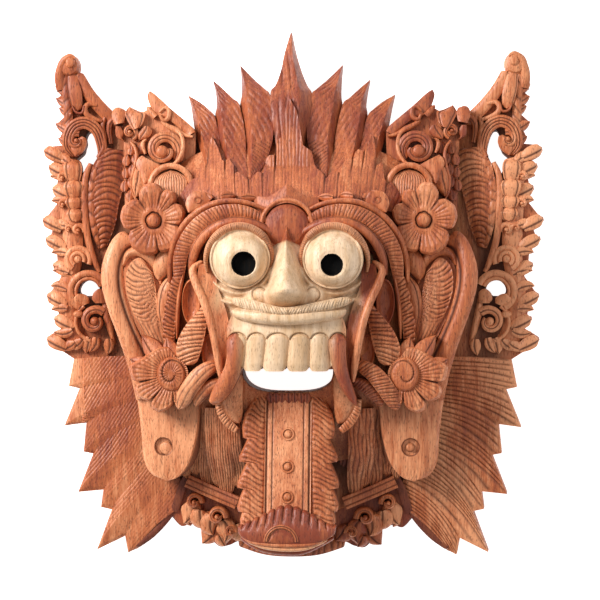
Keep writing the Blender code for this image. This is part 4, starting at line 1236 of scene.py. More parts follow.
class MASK_OT_ears(bpy.types.Operator):
    """Carves the long ears, their shells, and the studded lobes"""
    bl_idname = "mask.ears"
    bl_label = "Ears"

    def execute(self, context):
        work = Carving()
        for side in work.sides():
            # Painted light: the left half is painted lighter than the right, as the key light falls from the
            # left.
            work.painted_side_light = -0.06 if side == 1 else -0.46
            basin_in = [(92, 46, 62), (94, 10, 62), (97, -25, 61), (98, -60, 60)]
            basin_out = [(128, 46, 58), (142, 20, 58), (138, -14, 58), (124, -60, 58)]
            plate(work, basin_in, basin_out, 0.5, None, base=31, tone=0.6, rows=40, across=9)
            outer = [(126, 43, 64), (134, 50.5, 67), (143, 43, 71), (150.2, 24, 74), (150.4, 6, 75),
                     (145, -14, 75), (139, -31, 73), (133, -49, 70), (128, -68, 66), (124.5, -86, 61)]
            inner = [(114, 33, 60), (122, 36, 62), (130, 33, 66), (134.2, 20, 70), (133, 2, 72),
                     (128, -16, 71), (121.5, -32, 69), (113.5, -48, 67), (107, -62, 65), (103, -80, 60)]
            plate(work, inner, outer, 4.6, lined(1.2, 0.16, -0.62), base=31, tone=0.5, rows=90, across=27,
                  power=2.2)
            floor = [(96, 24, 60), (95, 0, 61), (95, -25, 60), (97, -48, 58), (101, -66, 56)]
            wall = [(124, 35, 65), (133.5, 20, 69), (133, 2, 70.5), (128, -16, 69.5), (115, -44, 65),
                    (104, -72, 59)]
            plate(work, floor, wall, 0, None, base=31, tone=0.62, rows=60, across=15)
            helix = [(104, 8, 66, 1.6), (105.6, 18, 69, 3), (111, 28.5, 72, 4.2), (121, 34.5, 73.5, 4.2),
                     (130, 31.5, 73, 2.8), (134, 23, 71, 1.2)]
            strap(work, helix, None, 3, 2, tone=0.55, across=11, base=50)
            one = [(110, 17, 69), (107.5, 4, 70), (106, -10, 70), (103, -25, 68.5), (99.6, -41, 65),
                   (98, -56, 61)]
            two = [(112, 20, 69.5), (120.5, 29, 71), (129.5, 22, 72.5), (131.5, 6, 73), (127.5, -10, 72),
                   (119, -28, 69), (108, -46, 65), (99, -58, 61)]

            def shell(u, way, half, length):
                upper = np.clip((0.62 - way / length) / 0.12, 0, 1)
                deep, crest = ribs(3.6, 1.3, -0.7, 0.08, 0.75, fan=0.5)(u, way, half, length)
                fine, top = flutes(5, 0.35, 0.8, 0.2, 0.1)(u, way, half, length)
                return deep * upper + fine * (1 - upper), crest * upper + top * (1 - upper)

            plate(work, one, two, 1.6, shell, base=48, tone=0.45, rows=120, across=21)
            strap(work, [(95, 38, 73, 3), (99.5, 29, 76, 6.6), (103.5, 19, 75, 6.2), (105.5, 11, 71, 2)],
                  None, 3.2, 2, tone=0.5, across=13, base=52, ends=(3, 3))
            strap(work, [(93.5, 15, 71, 2.2), (98.5, 3, 74, 6.2), (101.5, -12, 73, 5.4), (101, -26, 70, 3.2),
                         (100, -38, 66, 0.8)], lined(0.6, 0.1, -0.5), 2.8, 2, tone=0.55, across=13, base=50)

            wall = 3.8 if side == -1 else 1.8
            left = [(71.4, -76, 64), (71.8, -92, 64), (74.5, -114.4, 63.5), (81, -136, 62.5),
                    (90.5, -147.2, 60.5), (101, -150.8, 58.5)]
            left = [(x - wall * (1 - k / 8), y - wall * k / 12, z) for k, (x, y, z) in enumerate(left)]
            right = [(128, -70, 62), (124, -90, 61), (121.2, -114.4, 60), (119.4, -135.3, 59),
                     (113, -147, 58.5), (102.5, -150.9, 58.5)]
            hole, stud, size = (((97.8, -123.8), (97.4, -123.9), 3.6),
                                ((102.4, -123.8), (100.6, -125.2), 5.6))[side < 0]

            def lobe(share, way, x, y):
                u = 2 * share - 1
                facet = -7.0 * np.clip(u - 0.42, 0, 1) ** 1.2
                rounding = -2.6 * np.clip((np.abs(u) - 0.86) / 0.14, 0, 1) ** 2
                grain = 0.1 * np.sin(u * 31 + 2 * np.sin(way * 0.07))
                off = np.hypot(x - hole[0], y - hole[1])
                from_stud = np.hypot(x - stud[0], y - stud[1])
                sunk = -3.4 * soft(7.4 - off, 0, 0.9) * soft(from_stud, size - 0.9, size)
                swell = np.clip(1 - (from_stud / size) ** 2, 0, 1)
                dome = 1.2 * swell - 0.8 * soft(size - from_stud, 0, 0.6)
                # Painted shade: dark lines round the sunk ring and the stud, and the lobe's inner wall
                # painted dark as its shadow.
                dark = 0.9 * line_at(off, 7, 0.6) * (from_stud > size - 0.3)
                dark = dark + 0.6 * line_at(from_stud, size, 0.5)
                edge = np.clip(1 - share * 50 / wall, 0, 1)
                height = facet + rounding + grain + sunk + dome - 15.0 * edge ** 0.8
                return height, 1 - np.clip(dark + 0.7 * (edge > 0.12), 0, 1)

            sheet(work, (even(left), even(right)), lobe, 39, 0.3 if side == 1 else 0.62, rows=110, across=72)
        set_out(work.mesh("mask_ears"))
        return {"FINISHED"}


# The two flowers' rims, as degrees round from the right and millimetres from the middle

BLOOM = ((-180, 23.5), (-168, 20.5), (-160, 24), (-140, 27), (-120, 27.6), (-104, 26), (-99, 23.6),
         (-93, 26.4), (-75, 28.8), (-50, 27.5), (-32, 24), (-22, 20), (-14, 24.5), (5, 27), (25, 27.2),
         (45, 24), (55, 20), (62, 25.5), (75, 30), (92, 30.2), (101, 26), (105, 22.5), (112, 27), (124, 28),
         (134, 25), (140, 21.5), (150, 25), (165, 26), (180, 23.5))
BLOOM_GAPS = (-168, -99, -22, 55, 105, 140)
FAN = ((-180, 12), (-150, 14), (-123, 24), (-108, 27), (-100, 25), (-93, 22), (-88, 26), (-83, 28.5),
       (-72, 32.8), (-60.5, 32.5), (-55, 29), (-52, 24.5), (-49, 29), (-35, 33.5), (-24, 33.2), (-17, 29.5),
       (-14, 27), (-9, 32), (-2, 33.6), (10.5, 35.4), (18, 31), (28, 27), (45, 24), (63, 23.6), (84, 21.5),
       (95, 16), (110, 12), (150, 12), (180, 12))
FAN_GAPS = (-93, -52, -14)


def degrees(turn):
    """A turn in degrees from -180 to 180."""
    return (np.degrees(turn) + 180) % 360 - 180


def rim_of(outline, radius):
    """An outline of degrees and reach as a share of a radius at each turn."""
    angles, reaches = np.array(outline, float).T
    return lambda turn: np.interp(degrees(turn), angles, reaches) / radius


class MASK_OT_flowers(bpy.types.Operator):
    """Carves the flowers above and below each ear"""
    bl_idname = "mask.flowers"
    bl_label = "Flowers"

    def execute(self, context):
        work = Carving()

        def striped(share, turn):
            angle = degrees(turn)
            open_ = np.clip((share - 0.36) / 0.1, 0, 1)
            phase = (turn * 17 + 0.8 * np.sin(3 * turn)) / np.pi
            rays = grooves(phase, 0.6) * open_ * np.clip((0.97 - share) / 0.2, 0, 1)
            gap = sum(line_at(angle, place, 2.2) for place in BLOOM_GAPS)
            gap = gap * np.clip((share - 0.4) / 0.3, 0, 1)
            petal = np.interp(angle, [*BLOOM_GAPS, BLOOM_GAPS[0] + 360], np.arange(7))
            cup = np.abs(np.cos(np.pi * petal)) * open_
            dark = 0.7 * rays + 0.8 * gap + line_at(share, 0.25, 0.03)
            return -0.7 * rays - 1.6 * gap - 1.0 * cup, 1 - np.clip(dark, 0, 1)

        def fanned(share, turn):
            angle = degrees(turn)
            phase = (np.radians(angle) * 23 + 0.5 * np.sin(6 * share)) / np.pi
            rays = grooves(phase, 0.6) * soft(share, 0.2, 0.34) * soft(-share, -0.97, -0.84)
            bent = angle + 5 * (1 - share)
            gap = sum(line_at(bent, place, 1.6) for place in FAN_GAPS) * soft(share, 0.4, 0.7)
            rim = line_at(share, 0.9, 0.04)
            return -0.9 * rays - 2.0 * gap + 0.5 * rim, 1 - np.clip(0.8 * rays + gap, 0, 1)

        def shell(share, turn):
            rays = grooves(turn * 11 / np.pi, 0.7) * soft(share, 0.15, 0.3) * soft(-share, -0.9, -0.7)
            rays = rays * (0.35 if work.side == 1 else 1)
            coil = line_at(share, 0.25 + 0.75 * ((turn / (2 * np.pi) + 0.45) % 1), 0.05)
            return -0.7 * rays - 1.2 * coil, 1 - np.clip(0.7 * rays + 0.8 * coil, 0, 1)

        dish = [(0, 85.6), (2.8, 85.4), (4.6, 84.2), (5.4, 81.4), (6.2, 79.8), (7.2, 81.6), (10, 82),
                (15, 83), (20, 84.2), (23.5, 83.6), (25.2, 81.2)]
        tray = [(0, 84), (10, 86), (18, 87.6), (27, 87.8), (32, 86.6), (34.6, 84.4), (35.4, 82)]
        disc = [(0, 90.6), (4, 90.8), (8, 90.6), (10.6, 89.8), (11.8, 88.2), (12.4, 85.5)]
        leaves = (((101, -55), 57, 27, 7.4), ((93, -52), 80, 18, 6), ((109, -60), 28, 20, 5.5))
        low = (92.8, -63.9)
        for _ in work.sides():
            turned(work, (107.8, 58.6), dish, striped, rim_of(BLOOM, 25.2), sectors=160, base=48, tone=0.42,
                   step=0.9)
            for root, angle, length, half in leaves:
                leaf(work, root, angle, length, half, (87, 81), -8, lined(0.6, 0.12, 0.3), tone=0.6, base=58,
                     across=15)
            turned(work, low, tray, fanned, rim_of(FAN, 35.4), sectors=230, base=58, tone=0.45, step=1.2)
            turned(work, low, disc, shell, sectors=90, squash=(0.94, 1.12), base=66, tone=0.55, step=0.7)
        set_out(work.mesh("mask_flowers"))
        return {"FINISHED"}


def tongue_height(y):
    """The tongue's front leans forward evenly from its root to its end."""
    return 74.0 + 30.0 * (-79.6 - y) / 119.4


class MASK_OT_tongue(bpy.types.Operator):
    """Carves the hanging tongue: studs, ribbed fringes and the curled end"""
    bl_idname = "mask.tongue"
    bl_label = "Tongue"

    def execute(self, context):
        work = Carving()
        middle = [(0, y, tongue_height(y), 18.6) for y in (-78, -100, -125, -150, -178)]

        def plank(u, way, half, length):
            x = np.abs(u) * half
            deep = 0.8 * line_at(x, 12.4, 0.5) + 1.5 * line_at(x, 17, 0.7)
            # The scales at the plank's top are cut and painted dark: painted shade under the mouth.
            scale = grooves(u * 4, 0.6) * np.clip((9 - way) / 4, 0, 1)
            dark = line_at(x, 12.4, 0.6) + line_at(x, 17, 0.9) + scale * 0.8
            return -deep - 1.2 * scale, 1 - np.clip(dark, 0, 1)

        def stud(share, turn):
            return -1.38 * share * np.sin(turn), 1 - 0.85 * line_at(share, 0.6, 0.07)

        strap(work, middle, plank, 0.6, 4, base=62, tone=0.3, across=75, step=1.5)
        # Painted shade: the scales at the tongue's root are painted dark, as the shade under the mouth.
        for k in range(7):
            leaf(work, (-15 + 5 * k, -79.4), -84 - 4 * k % 9, 9.5, 3, (77.5 + k % 2, 76), 0,
                 lined(0.6, 0.2, 0), tone=0.95, base=66)
        for y in (-111.8, -137.2, -160.6):
            z = tongue_height(y)
            ring = [(0, 2.4), (1.4, 2.2), (2.4, 1.4), (2.9, 0.5), (3.3, 0.2), (3.7, 0.5), (4.1, 1.4),
                    (4.7, 1.4), (5.2, 0.3), (5.5, -0.6)]
            ring = [(radius, z + rise) for radius, rise in ring]
            turned(work, (0, y), ring, stud, sectors=44, base=z - 6, tone=0.36, step=0.3)
        for _ in work.sides():
            inner = [(17.8, -79, 73), (17.8, -125, 83.5), (17.8, -192, 98.5)]
            outer = [(25.9, -78.5, 70), (29.6, -86.8, 73), (35.2, -96.2, 76), (37.2, -107, 79),
                     (36.4, -115.2, 79.5), (33, -116.4, 80.5), (36, -123, 82), (39.2, -129.7, 83),
                     (39.2, -134, 83), (33.4, -134.6, 84.5), (36.4, -141, 86), (40.2, -150.2, 88),
                     (40.4, -154.4, 88), (35.2, -154.8, 89.5), (38, -161.4, 91), (40.3, -168.9, 92),
                     (39.4, -172.8, 92), (35.8, -172.6, 93.5), (37.6, -179, 95), (37.4, -190, 96)]

            def feather(u, way, half, length):
                u = -u if work.side == 1 else u
                shift = 3.6 * u + 1.5 * np.sin(2.6 * u + 0.4) + 0.5 * np.sin(way * 0.35)
                low = grooves((way + shift) / 4.3, 0.6) * soft(1 - np.abs(u + 0.12), 0.06, 0.3)
                return -1.6 * low - 1.8 * soft(np.abs(u), 0.8, 1), 1 - low

            plate(work, inner, outer, 1.6, feather, base=58, tone=0.46, rows=200, across=21,
                  smooth=(False, False), power=2.4)

        under = [(-38.8, -184, 100), (-37.4, -189.4, 103), (-31, -193.2, 105.6), (-20, -195.6, 107.4),
                 (0, -196.4, 108.4), (20, -195.6, 107.4), (31, -192.8, 105.6), (37.4, -188.6, 103),
                 (38.8, -183, 100)]
        over = [(-38.8, -183.6, 100), (-34.5, -181.2, 102), (-25, -176.6, 103.4), (-17.5, -172.8, 104.2),
                (-10.5, -169.2, 104.8), (-1.5, -166.2, 105), (8, -167.8, 104.8), (18, -172.2, 104),
                (26, -177, 103), (33, -181, 101.8), (38.8, -182.6, 100)]
        count, lobes = 240, 12
        rails = [even(line, count) for line in (under, over)]
        fading = np.clip(np.sin(np.linspace(0, np.pi, count)) * 4, 0, 1)
        rails[1][:, 1] -= 2.6 * grooves(np.linspace(0, lobes, count) + 0.3, 0.55) * fading

        def curled(share, way, x, y):
            turn = lobes * way / way.max() + 0.3 + 0.35 * (1 - share)
            low = grooves(turn, 0.5) * soft(share, 0.4, 0.75) * np.clip(6 - np.abs(x) / 6.4, 0, 1)
            arch = 2.2 * np.sin(np.pi * np.clip(share, 0, 1)) ** 0.7
            return arch - 1.9 * low - 1.2 * soft(share, 0.93, 1), 1 - 0.8 * low

        sheet(work, rails, curled, 84, 1.06, rows=60, across=42)
        moon = spiral((-4.1, -194.6), (11.9, 11.9), (178, 2), (110.2, 110.2), (1.8, 1.8), 20)
        strap(work, moon, lined(0.5, 0.22, -0.3, 0.75), 0.6, 2, base=98, tone=0.55, across=13, step=0.5)
        arch = [(-14, -194.4), (-10.5, -188.6), (-4.1, -185.2), (2.3, -188.6), (6, -194.4)]
        blade(work, [(-14, -194.8), (-4, -195.8), (6, -194.8)], arch, (108.9, 108.9), 0.6, base=98, tone=1)
        lip = [(-36, -190.8, 102.8, 0.9), (-26, -195.4, 106.8, 1.3), (-4, -197.2, 109, 1.5),
               (20, -196.3, 107.8, 1.4), (36, -189.6, 102.8, 0.9)]
        strap(work, lip, None, 0.9, 2, base=92, tone=0.5, across=9)
        # Painted highlight: a pale strip along the curl's lower edge.
        pale_edge_highlight = [(-31, -195.4, 104, 0.8), (-16, -199.4, 106.6, 1.5), (2, -200.6, 107.4, 1.8),
               (17, -199.2, 106.8, 1.5), (32, -193.6, 104, 0.8)]
        strap(work, pale_edge_highlight, None, 1.2, 2, base=90, tone=-0.3, sap=0.3, across=11, ends=(4, 4))
        rim = [(-37, -193, 96, 1.6), (-22, -200.8, 99, 2.4), (-4, -203.6, 100, 2.6), (14, -202.8, 99.6, 2.4),
               (37, -192.6, 96, 1.6)]
        strap(work, rim, None, 2, 2, base=80, tone=1, across=11, ends=(4, 4))
        set_out(work.mesh("mask_tongue"))
        return {"FINISHED"}


class MASK_OT_collar(bpy.types.Operator):
    """Carves the beard beside the tongue, the strap under it and the leafy collar"""
    bl_idname = "mask.collar"
    bl_label = "Beard and collar"

    def execute(self, context):
        work = Carving()
        upper = both([(0, -150, 24), (87.3, -153, 24), (99.2, -181, 24)])
        lower = [(0, -216), (30, -212), (42.3, -205.2), (52, -208.6), (61, -209.4), (68.6, -200),
                 (70, -190.5), (77, -193.5), (84, -191), (92, -193), (100.4, -184.6)]
        plate(work, upper, both([(x, y, 22) for x, y in lower]), 1.5, None, base=5, tone=0.95, rows=160,
              across=17, smooth=(False, True))
        strap(work, both([(0, -212, 31, 5), (22, -210.5, 30, 5), (44, -205, 27, 4)]), ribs(5.2, 1.2, 0.3),
              2.2, 2, base=8, tone=0.7, across=11, step=0.7, ends=(3, 3))
        locks = ((46, -96, 43, -160, 7), (54, -96, 52, -169, 7), (62, -92, 60, -159, 6.5),
                 (69, -88, 67.5, -161.5, 7), (77, -90, 78, -150, 7), (86, -120, 86, -153, 6))
        for side in work.sides():
            for k, (x, top, tip_x, tip_y, half) in enumerate(locks):
                z0 = float(ground(x, top)) + 5
                z1 = float(ground(tip_x, tip_y + 20)) + 6 + (k % 2)
                z0, z1, x = (z0 - 8, z1 - 5, x - 3) if x > 66 else (z0, z1, x)
                lock = [(x, top, z0 + 2, half), (x + 0.5, (top + tip_y) / 2 + 6, (z0 + z1) / 2 + 4, half),
                        (tip_x + 1.2, tip_y + 16, z1 + 2, half),
                        (tip_x + 0.6, tip_y + 5, z1 - 1, half * 0.62), (tip_x, tip_y, z1 - 4, 0.4)]
                # Painted shade: on the right the innermost lock, beside the tongue, is sunk and painted
                # darkest as the tongue's shadow, and the right locks are painted darker than the left.
                if side == 1 and k == 0:
                    lock = [(x + 1, y, z - 14, h * 0.8) for x, y, z, h in lock]
                count, wander, tone = (4, 0.22, (0.4, 1)[k == 0]) if side == 1 else (7, 0.1, 0.12)
                strap(work, lock, flutes(count, 0.8, 0.7, 0.4 * k, wander), 1.2, 2.4, tone=tone, across=27,
                      step=1.2, base=24)
            belt = [(86, -154, 37, 5.2), (66, -162.5, 40, 5.2), (44, -171.5, 43, 5.2)]
            strap(work, belt, lined(0.9, 0.1, -0.45, 0.45), 0.8, 3, base=20, tone=0.6, across=17)
            for x, y, angle, size, bend, z in ((82, -172, -88, 20, 40, 33), (76, -178, -70, 17, -60, 35),
                                               (71, -180, -100, 14, 60, 31), (66, -183, -50, 18, -90, 36),
                                               (64, -189, -80, 21, 40, 31), (57, -187, -125, 19, 60, 36),
                                               (54, -198, -70, 12, 60, 33), (47, -191, -105, 17, -50, 32),
                                               (86, -184, -80, 9, -50, 30), (60, -199, -100, 11, -40, 36)):
                # Painted shade: on the right the leaves are painted darker towards the tongue, as its
                # shadow; on the left they are painted light.
                tone = 0.22 if side == -1 else 0.95 - 0.8 * float(soft(x, 56, 72))
                leaf(work, (x, y), angle, size, size * 0.42, (z, z - 3), bend, lined(1, 0.16, 0.25),
                     tone=tone, fall=3.6, across=15, base=12)
            for x, y, size, z in ((61, -183.5, 7.4, 39), (80, -171.5, 6.4, 38), (50, -196, 5.2, 36)):
                snail(work, (x, y), size, (190, -190), (z - 2, z + 1), size * 0.34, lined(0.7, 0.16, 0.1),
                      ball=size * 0.26, tone=0.55, base=14, step=0.6, fall=1.8)
            # Painted shade all over the strap down the collar's outer edge.
            strap(work, [(86.6, -151, 33, 2.8), (92, -164, 30, 3.4), (97.4, -180.5, 27, 3)], painted_shade_band(0.35),
                  0.4, 4, base=8, tone=1, across=9)
        set_out(work.mesh("mask_collar"))
        return {"FINISHED"}


# The wings

HAIR_TIPS = ((42, -212), (50, -215), (52.5, -201), (76, -212.5), (63.5, -179), (72.5, -177), (70.5, -162.5),
             (91.5, -164.5), (79, -132.5), (87, -131), (84.5, -107), (103, -109.5), (90.5, -78.5),
             (99.5, -76.5))
FRINGE = ((118, -42, -34), (112, -24, -18), (118, -6, 2), (113, 20, 27), (119, 43, 47), (121.5, 58, 64),
          (113.5, 84, 90), (116.5, 103, 107), (120.5, 115, 122))
SERRATION = ((107, 128), (109.3, 140), (106.5, 153), (109, 161), (109.5, 171))
HOLE_HIGH = ((73.6, 118), (74.4, 126), (77, 132.5), (82.5, 135), (85.6, 128), (86.5, 118), (92.6, 111),
             (89, 104), (85.2, 97.5), (80, 105))
HOLE_LOW = ((79.6, -1.5), (74, 3.6), (75.6, 8.4), (79.6, 11.2), (85, 11), (89.4, 7), (90.4, 1.6),
            (86.6, -1.4), (83, -1.6))


def wing_outline():
    """The wing's edge from the joint round by the hair tips, the fringe and the horn, and back."""
    outline = [(0, -154), (11.5, -181.5), *HAIR_TIPS, (95, -54)]
    for reach, low, high in FRINGE:
        middle = (low + high) / 2
        outline += [(reach - 9, low - 3), (reach - 2, middle - 3.4), (reach, middle),
                    (reach - 0.6, middle + 2.4), (reach - 4, high + 0.6)]
    for reach, y in SERRATION:
        outline += [(reach - 5, y - 4), (reach, y + 2)]
    outline += [(103, 178), (101, 183), (89, 179), (74, 164), (62, 148), (54, 142), (0, 142)]
    return np.array(outline, float)


def board(name, outline, levels, side):
    """A wing's board cut to an outline: walls through the levels of height and inset, and flat faces.

    The inset moves each corner along the mean of its two edges' normals.
    """
    area = np.sum(outline[:, 0] * np.roll(outline[:, 1], -1) - np.roll(outline[:, 0], -1) * outline[:, 1])
    outline = outline if area > 0 else outline[::-1]
    way = np.roll(outline, -1, 0) - outline
    way /= np.hypot(*way.T)[:, None]
    normal = np.stack([-way[:, 1], way[:, 0]], axis=1)
    inward = normal + np.roll(normal, 1, 0)
    inward /= np.maximum(np.hypot(*inward.T), 0.6)[:, None]
    count = len(outline)
    points = np.concatenate([np.column_stack([outline + inward * inset, np.full(count, height)])
                             for height, inset in levels])
    points = on_wing(points, side) * MM
    faces = ring_faces(len(levels), count)[0].tolist()
    faces += [list(range(count))[::-1], list(range(count * len(levels)))[-count:]]
    faces = [face[::side] for face in faces]
    data = bpy.data.meshes.new(name)
    data.from_pydata(points.tolist(), [], faces)
    for title, value in (("crest", 0.75), ("tone", 0.5), ("sap", 0)):
        layer = data.attributes.new(title, "FLOAT", "POINT")
        layer.data.foreach_set("value", np.full(len(points), value, np.float32))
    return bpy.data.objects.new(name, data)


class MASK_OT_wings(bpy.types.Operator):
    """Carves the two openwork wings: boards with holes, and on them combs, scrolls, leaves and hair"""
    bl_idname = "mask.wings"
    bl_label = "Wings"

    def execute(self, context):
        levels = ((0, 0.7), (0.7, 0), (16.8, 0), (18.4, 0.5), (WING_THICKNESS, 1.6))
        # Painted light: the upper carving, the column and the hair of each wing get their own painted side
        # light; the left wing, turned away from the key light, is painted darker and the right one lighter.
        for side, mark, painted_side_lights in ((1, "right", (-0.04, -0.45, -0.18)), (-1, "left", (0.18, -0.02, 0.12))):
            body = board(f"{mark}_board", wing_outline(), levels, side)
            holes = []
            for title, hole in (("high", HOLE_HIGH), ("low", HOLE_LOW)):
                fine, _ = curve([(*point, 0) for point in (*hole, hole[0])], 1.5)
                holes.append(board(f"{mark}_{title}", fine[:-1, :2], ((-12, 0), (40, 0)), side))
            cut_out(context, f"{mark}_wing_board", f"{mark}_wing", body, (), holes)
            work = Carving(on_wing, side)
            for carve, painted_side_light in zip((self.upper, self.column, self.hair), painted_side_lights):
                work.painted_side_light = painted_side_light
                carve(work)
            set_out(work.mesh(f"{mark}_wing_carving"), f"{mark}_wing")
        return {"FINISHED"}

    def upper(self, work):
        work.base = 14
        strap(work, [(91.5, 182.5, 27, 4.2), (82, 165.5, 27, 5), (69.5, 151, 26, 5.2), (57, 141, 24, 4.5)],
              None, 1.8, 2.6, tone=0.5, across=13, ends=(3, 3))
        arc(work, [(75.7, 156), (82, 157.2), (85.2, 153.9), (84.1, 148.9), (77.8, 145.1), (71.1, 143)],
            (27.5, 29.5, 27), (1.4, 2.3, 1.4), fall=1, tone=0.42)
        strap(work, [(97, 184, 27, 3.6), (94.5, 170, 29, 5.6), (92.6, 160, 29, 5.2), (91.5, 151.5, 27, 3.4)],
              lined(0.5, 0.08, -0.85), 1, 2.6, tone=0.45, across=17, ends=(4, 4))
        arc(work, [(85.8, 155.6), (87.9, 149.7), (92.9, 150.5), (95.8, 155.6)], (29.6, 29.6),
            (0.7, 1.1, 0.4), fall=0.6, tone=0.75)
        strap(work, [(102.4, 181, 26.5, 3.2), (101.2, 167, 26.5, 3.2), (99.6, 153, 26.5, 3.6),
                     (99.4, 141, 25.5, 3.6), (100, 130, 25, 3.2)], ribs(9.6, 0.7, 0.9, 0.1, 0.5), 1.4, 2.4,
              tone=0.42, across=15, step=0.7, ends=(3, 3))
        for reach, y in SERRATION:
            leaf(work, (reach - 9, y - 4.5), 36, 11.6, 3.8, (26.8, 22), -10, lined(0.5, 0.2, 0.3), fall=1.2,
                 tone=0.4)
        ball = [(0, 30.6), (4, 30.4), (7.2, 29.4), (9.2, 26), (10.2, 20), (9.4, 10), (7.6, 3.4)]
        turned(work, (98.4, 188.6), ball, sectors=48, squash=(0.95, 1), base=2.6, tone=0.4)
        arc(work, [(105, 168.9), (106.5, 178.2), (105.6, 185.7), (102.8, 192.4), (97.5, 196.1),
                   (93.3, 194.5)], (26, 29, 31, 32, 32.2), (4.2, 3.8, 3.2, 2.6, 1.4), fall=1.8, tone=0.34,
            across=11, base=12)
        turned(work, (97.3, 190.9), [(0, 32.6), (2.6, 32.5), (3.8, 31.8), (4.6, 29.4)], sectors=28,
               squash=(0.9, 1.1), tone=0.3, step=0.6)
        arch = [(72.5, 110, 25, 2.6), (71.4, 122, 27, 4.2), (75.5, 135.2, 28.4, 4.8), (84.4, 141.4, 29, 5),
                (93.4, 139.4, 29, 5), (98.6, 132, 28.6, 4.8), (99.6, 122, 27.5, 4.2), (94.4, 114, 25, 2.4)]
        strap(work, arch, lined(0.8, 0.1, -0.5, 0, 0.5), 1.2, 2.6, tone=0.46, across=21, ends=(3, 3))
        snail(work, (92.4, 126.6), 6.6, (110, -200), (27.6, 30), 2.8, lined(0.6, 0.2, 0.2), ball=2.2,
              tone=0.42, base=9, step=0.6, across=11, fall=1.2)
        blade(work, [(84.5, 128.8), (84.1, 123.7), (87, 117.9), (92.9, 113.7)],
              [(87.9, 130.4), (95.4, 125.4), (97.1, 119.6), (93.7, 113.7)], (27.4, 25.6), 1.4, base=9,
              tone=0.46)
        arc(work, [(55.7, 133.8), (56.9, 140.5), (60.3, 144.5), (64.4, 142.2), (65.8, 134.6), (64.4, 124.6)],
            (24, 27, 24), (1.6, 2.6, 2), lined(0.5, 0.2, 0.3), fall=1.2, tone=0.6)
        arc(work, [(69, 146.3), (71.1, 138), (69.9, 128.8), (70.7, 120.4), (74.9, 112.9)], (26, 27, 26.5),
            (1.6, 2.4, 1.6), fall=1.2, tone=0.56)
        comb_in = [(49, 119, 21), (50.4, 104, 22), (53.4, 90, 23), (57.6, 74, 23.6), (60.6, 58, 23),
                   (67.5, 39.5, 21)]
        comb_out = [(69, 121, 26), (79, 106, 27), (81.2, 92, 27), (80.6, 74, 27), (78.4, 58, 26),
                    (74, 37.5, 22)]
        plate(work, comb_in, comb_out, 1.4, ribs(4.7, 1.25, -0.2, 0.06, 0.62, fan=-0.5), base=13.4,
              tone=0.58, rows=170, across=19)
        scallop = [(72, 112, 26.8, 2.4), (78.2, 98, 27.6, 2.8), (79.8, 84, 27.8, 3), (79.6, 68, 27.6, 3),
                   (77.2, 52, 26.6, 2.8), (73.4, 38, 23, 1.6)]
        strap(work, scallop, ribs(9.4, 0.9, 0, 0.05, 0.5), 1, 2, tone=0.5, step=0.6, across=11,
              lobes=(9.4, 0.5, 1))
        rod = [(80.6, 108, 27, 1.8), (85, 96, 28.5, 2.5), (85.6, 73, 28.5, 2.7), (83.4, 48, 28, 2.7),
               (79, 31, 27.5, 2.6), (73.5, 18, 26, 1.8)]
        strap(work, rod, None, 1.2, 2.4, tone=0.38, across=11)

    def column(self, work):
        work.base = 14
        spine = [(97, 112, 25, 8), (97, 85, 25.5, 8.5), (96, 60, 25, 8.5), (96, 30, 24.5, 8),
                 (100, 0, 24, 7), (96, -30, 23, 9), (88, -42, 22, 8)]
        strap(work, spine, None, 3, 2.4, tone=0.52, across=9, base=12, ends=(3, 3))
        for x, y, top, half, z in ((95.4, 110, 92, 7.4, 28.6), (94.8, 94, 79, 8, 29.6),
                                   (94.2, 81, 69.5, 7.4, 29.2), (93.4, 71, 59.5, 7, 28.8)):
            cup = [(x, y, z - 1.5, half * 0.8), (x, y - 4, z + 0.6, half),
                   (x - 0.2, (y + top) / 2, z + 0.8, half), (x - 0.6, top, z - 1.2, half * 0.72)]
            strap(work, cup, lined(0.7, 0.09, -0.72, 0.76), 1.6, 2.4, tone=0.42, across=21, ends=(1.6, 2.4))
        for x, y, radius in ((91, 52.6, 5.4), (98.8, 53.8, 3.6), (103.6, 74, 4.4), (104.2, 96, 4.6)):
            snail(work, (x, y), radius, (200, -100), (27, 28.6), radius * 0.4, None, ball=radius * 0.36,
                  tone=0.5, base=13, step=0.6, fall=0.9)
        centre = (91.2, 28.6)
        for radius, half, z in ((9.6, 2.4, 29), (5.4, 1.9, 30.5)):
            ring = spiral(centre, (radius, radius * 0.92), (205, -60), (z - 1, z), (half, half * 0.9), 16)
            strap(work, ring, None, 1.2, 2.2, tone=0.36, across=9)
        turned(work, centre, [(0, 30.8), (1.8, 30.6), (3, 29.5), (3.3, 27)], sectors=24, tone=0.36)
        for radius, half, z in ((14.6, 2.6, 27.5), (10.4, 1.8, 26)):
            ring = spiral((82.4, 2.4), (radius, radius * 1.06), (158, -62), (z, z), (half, half), 18)
            strap(work, ring, None, 1.2, 2.2, tone=0.42, across=9)
        blade(work, [(69, -7.6), (68.6, 0.7), (71.1, 3.7), (73.7, 4.3)],
              [(77, -7.6), (79.5, -4.3), (78.3, 0.7), (74.9, 3.9)], (26, 27.5), 1.4, base=13, tone=0.6)
        blade(work, [(82, -7.6), (82.4, -3.4), (86.2, -0.5), (89.6, 0.3)],
              [(87.9, -10.1), (93.7, -7.6), (94.6, -3.4), (91.2, 0.1)], (26, 28), 1.6, base=13, tone=0.3)
        turned(work, (90.9, -16.7), [(0, 28.4), (2, 28.2), (3.4, 27), (4.2, 24)], sectors=28,
               squash=(1.1, 0.8), base=13, tone=0.25)
        snail(work, (77.4, -22.6), 10.6, (135, -215), (27, 29.5), 3.6, lined(0.7, 0.16, 0.1), ball=3.6,
              tone=0.5, base=13, step=0.6, across=13, fall=1.4)
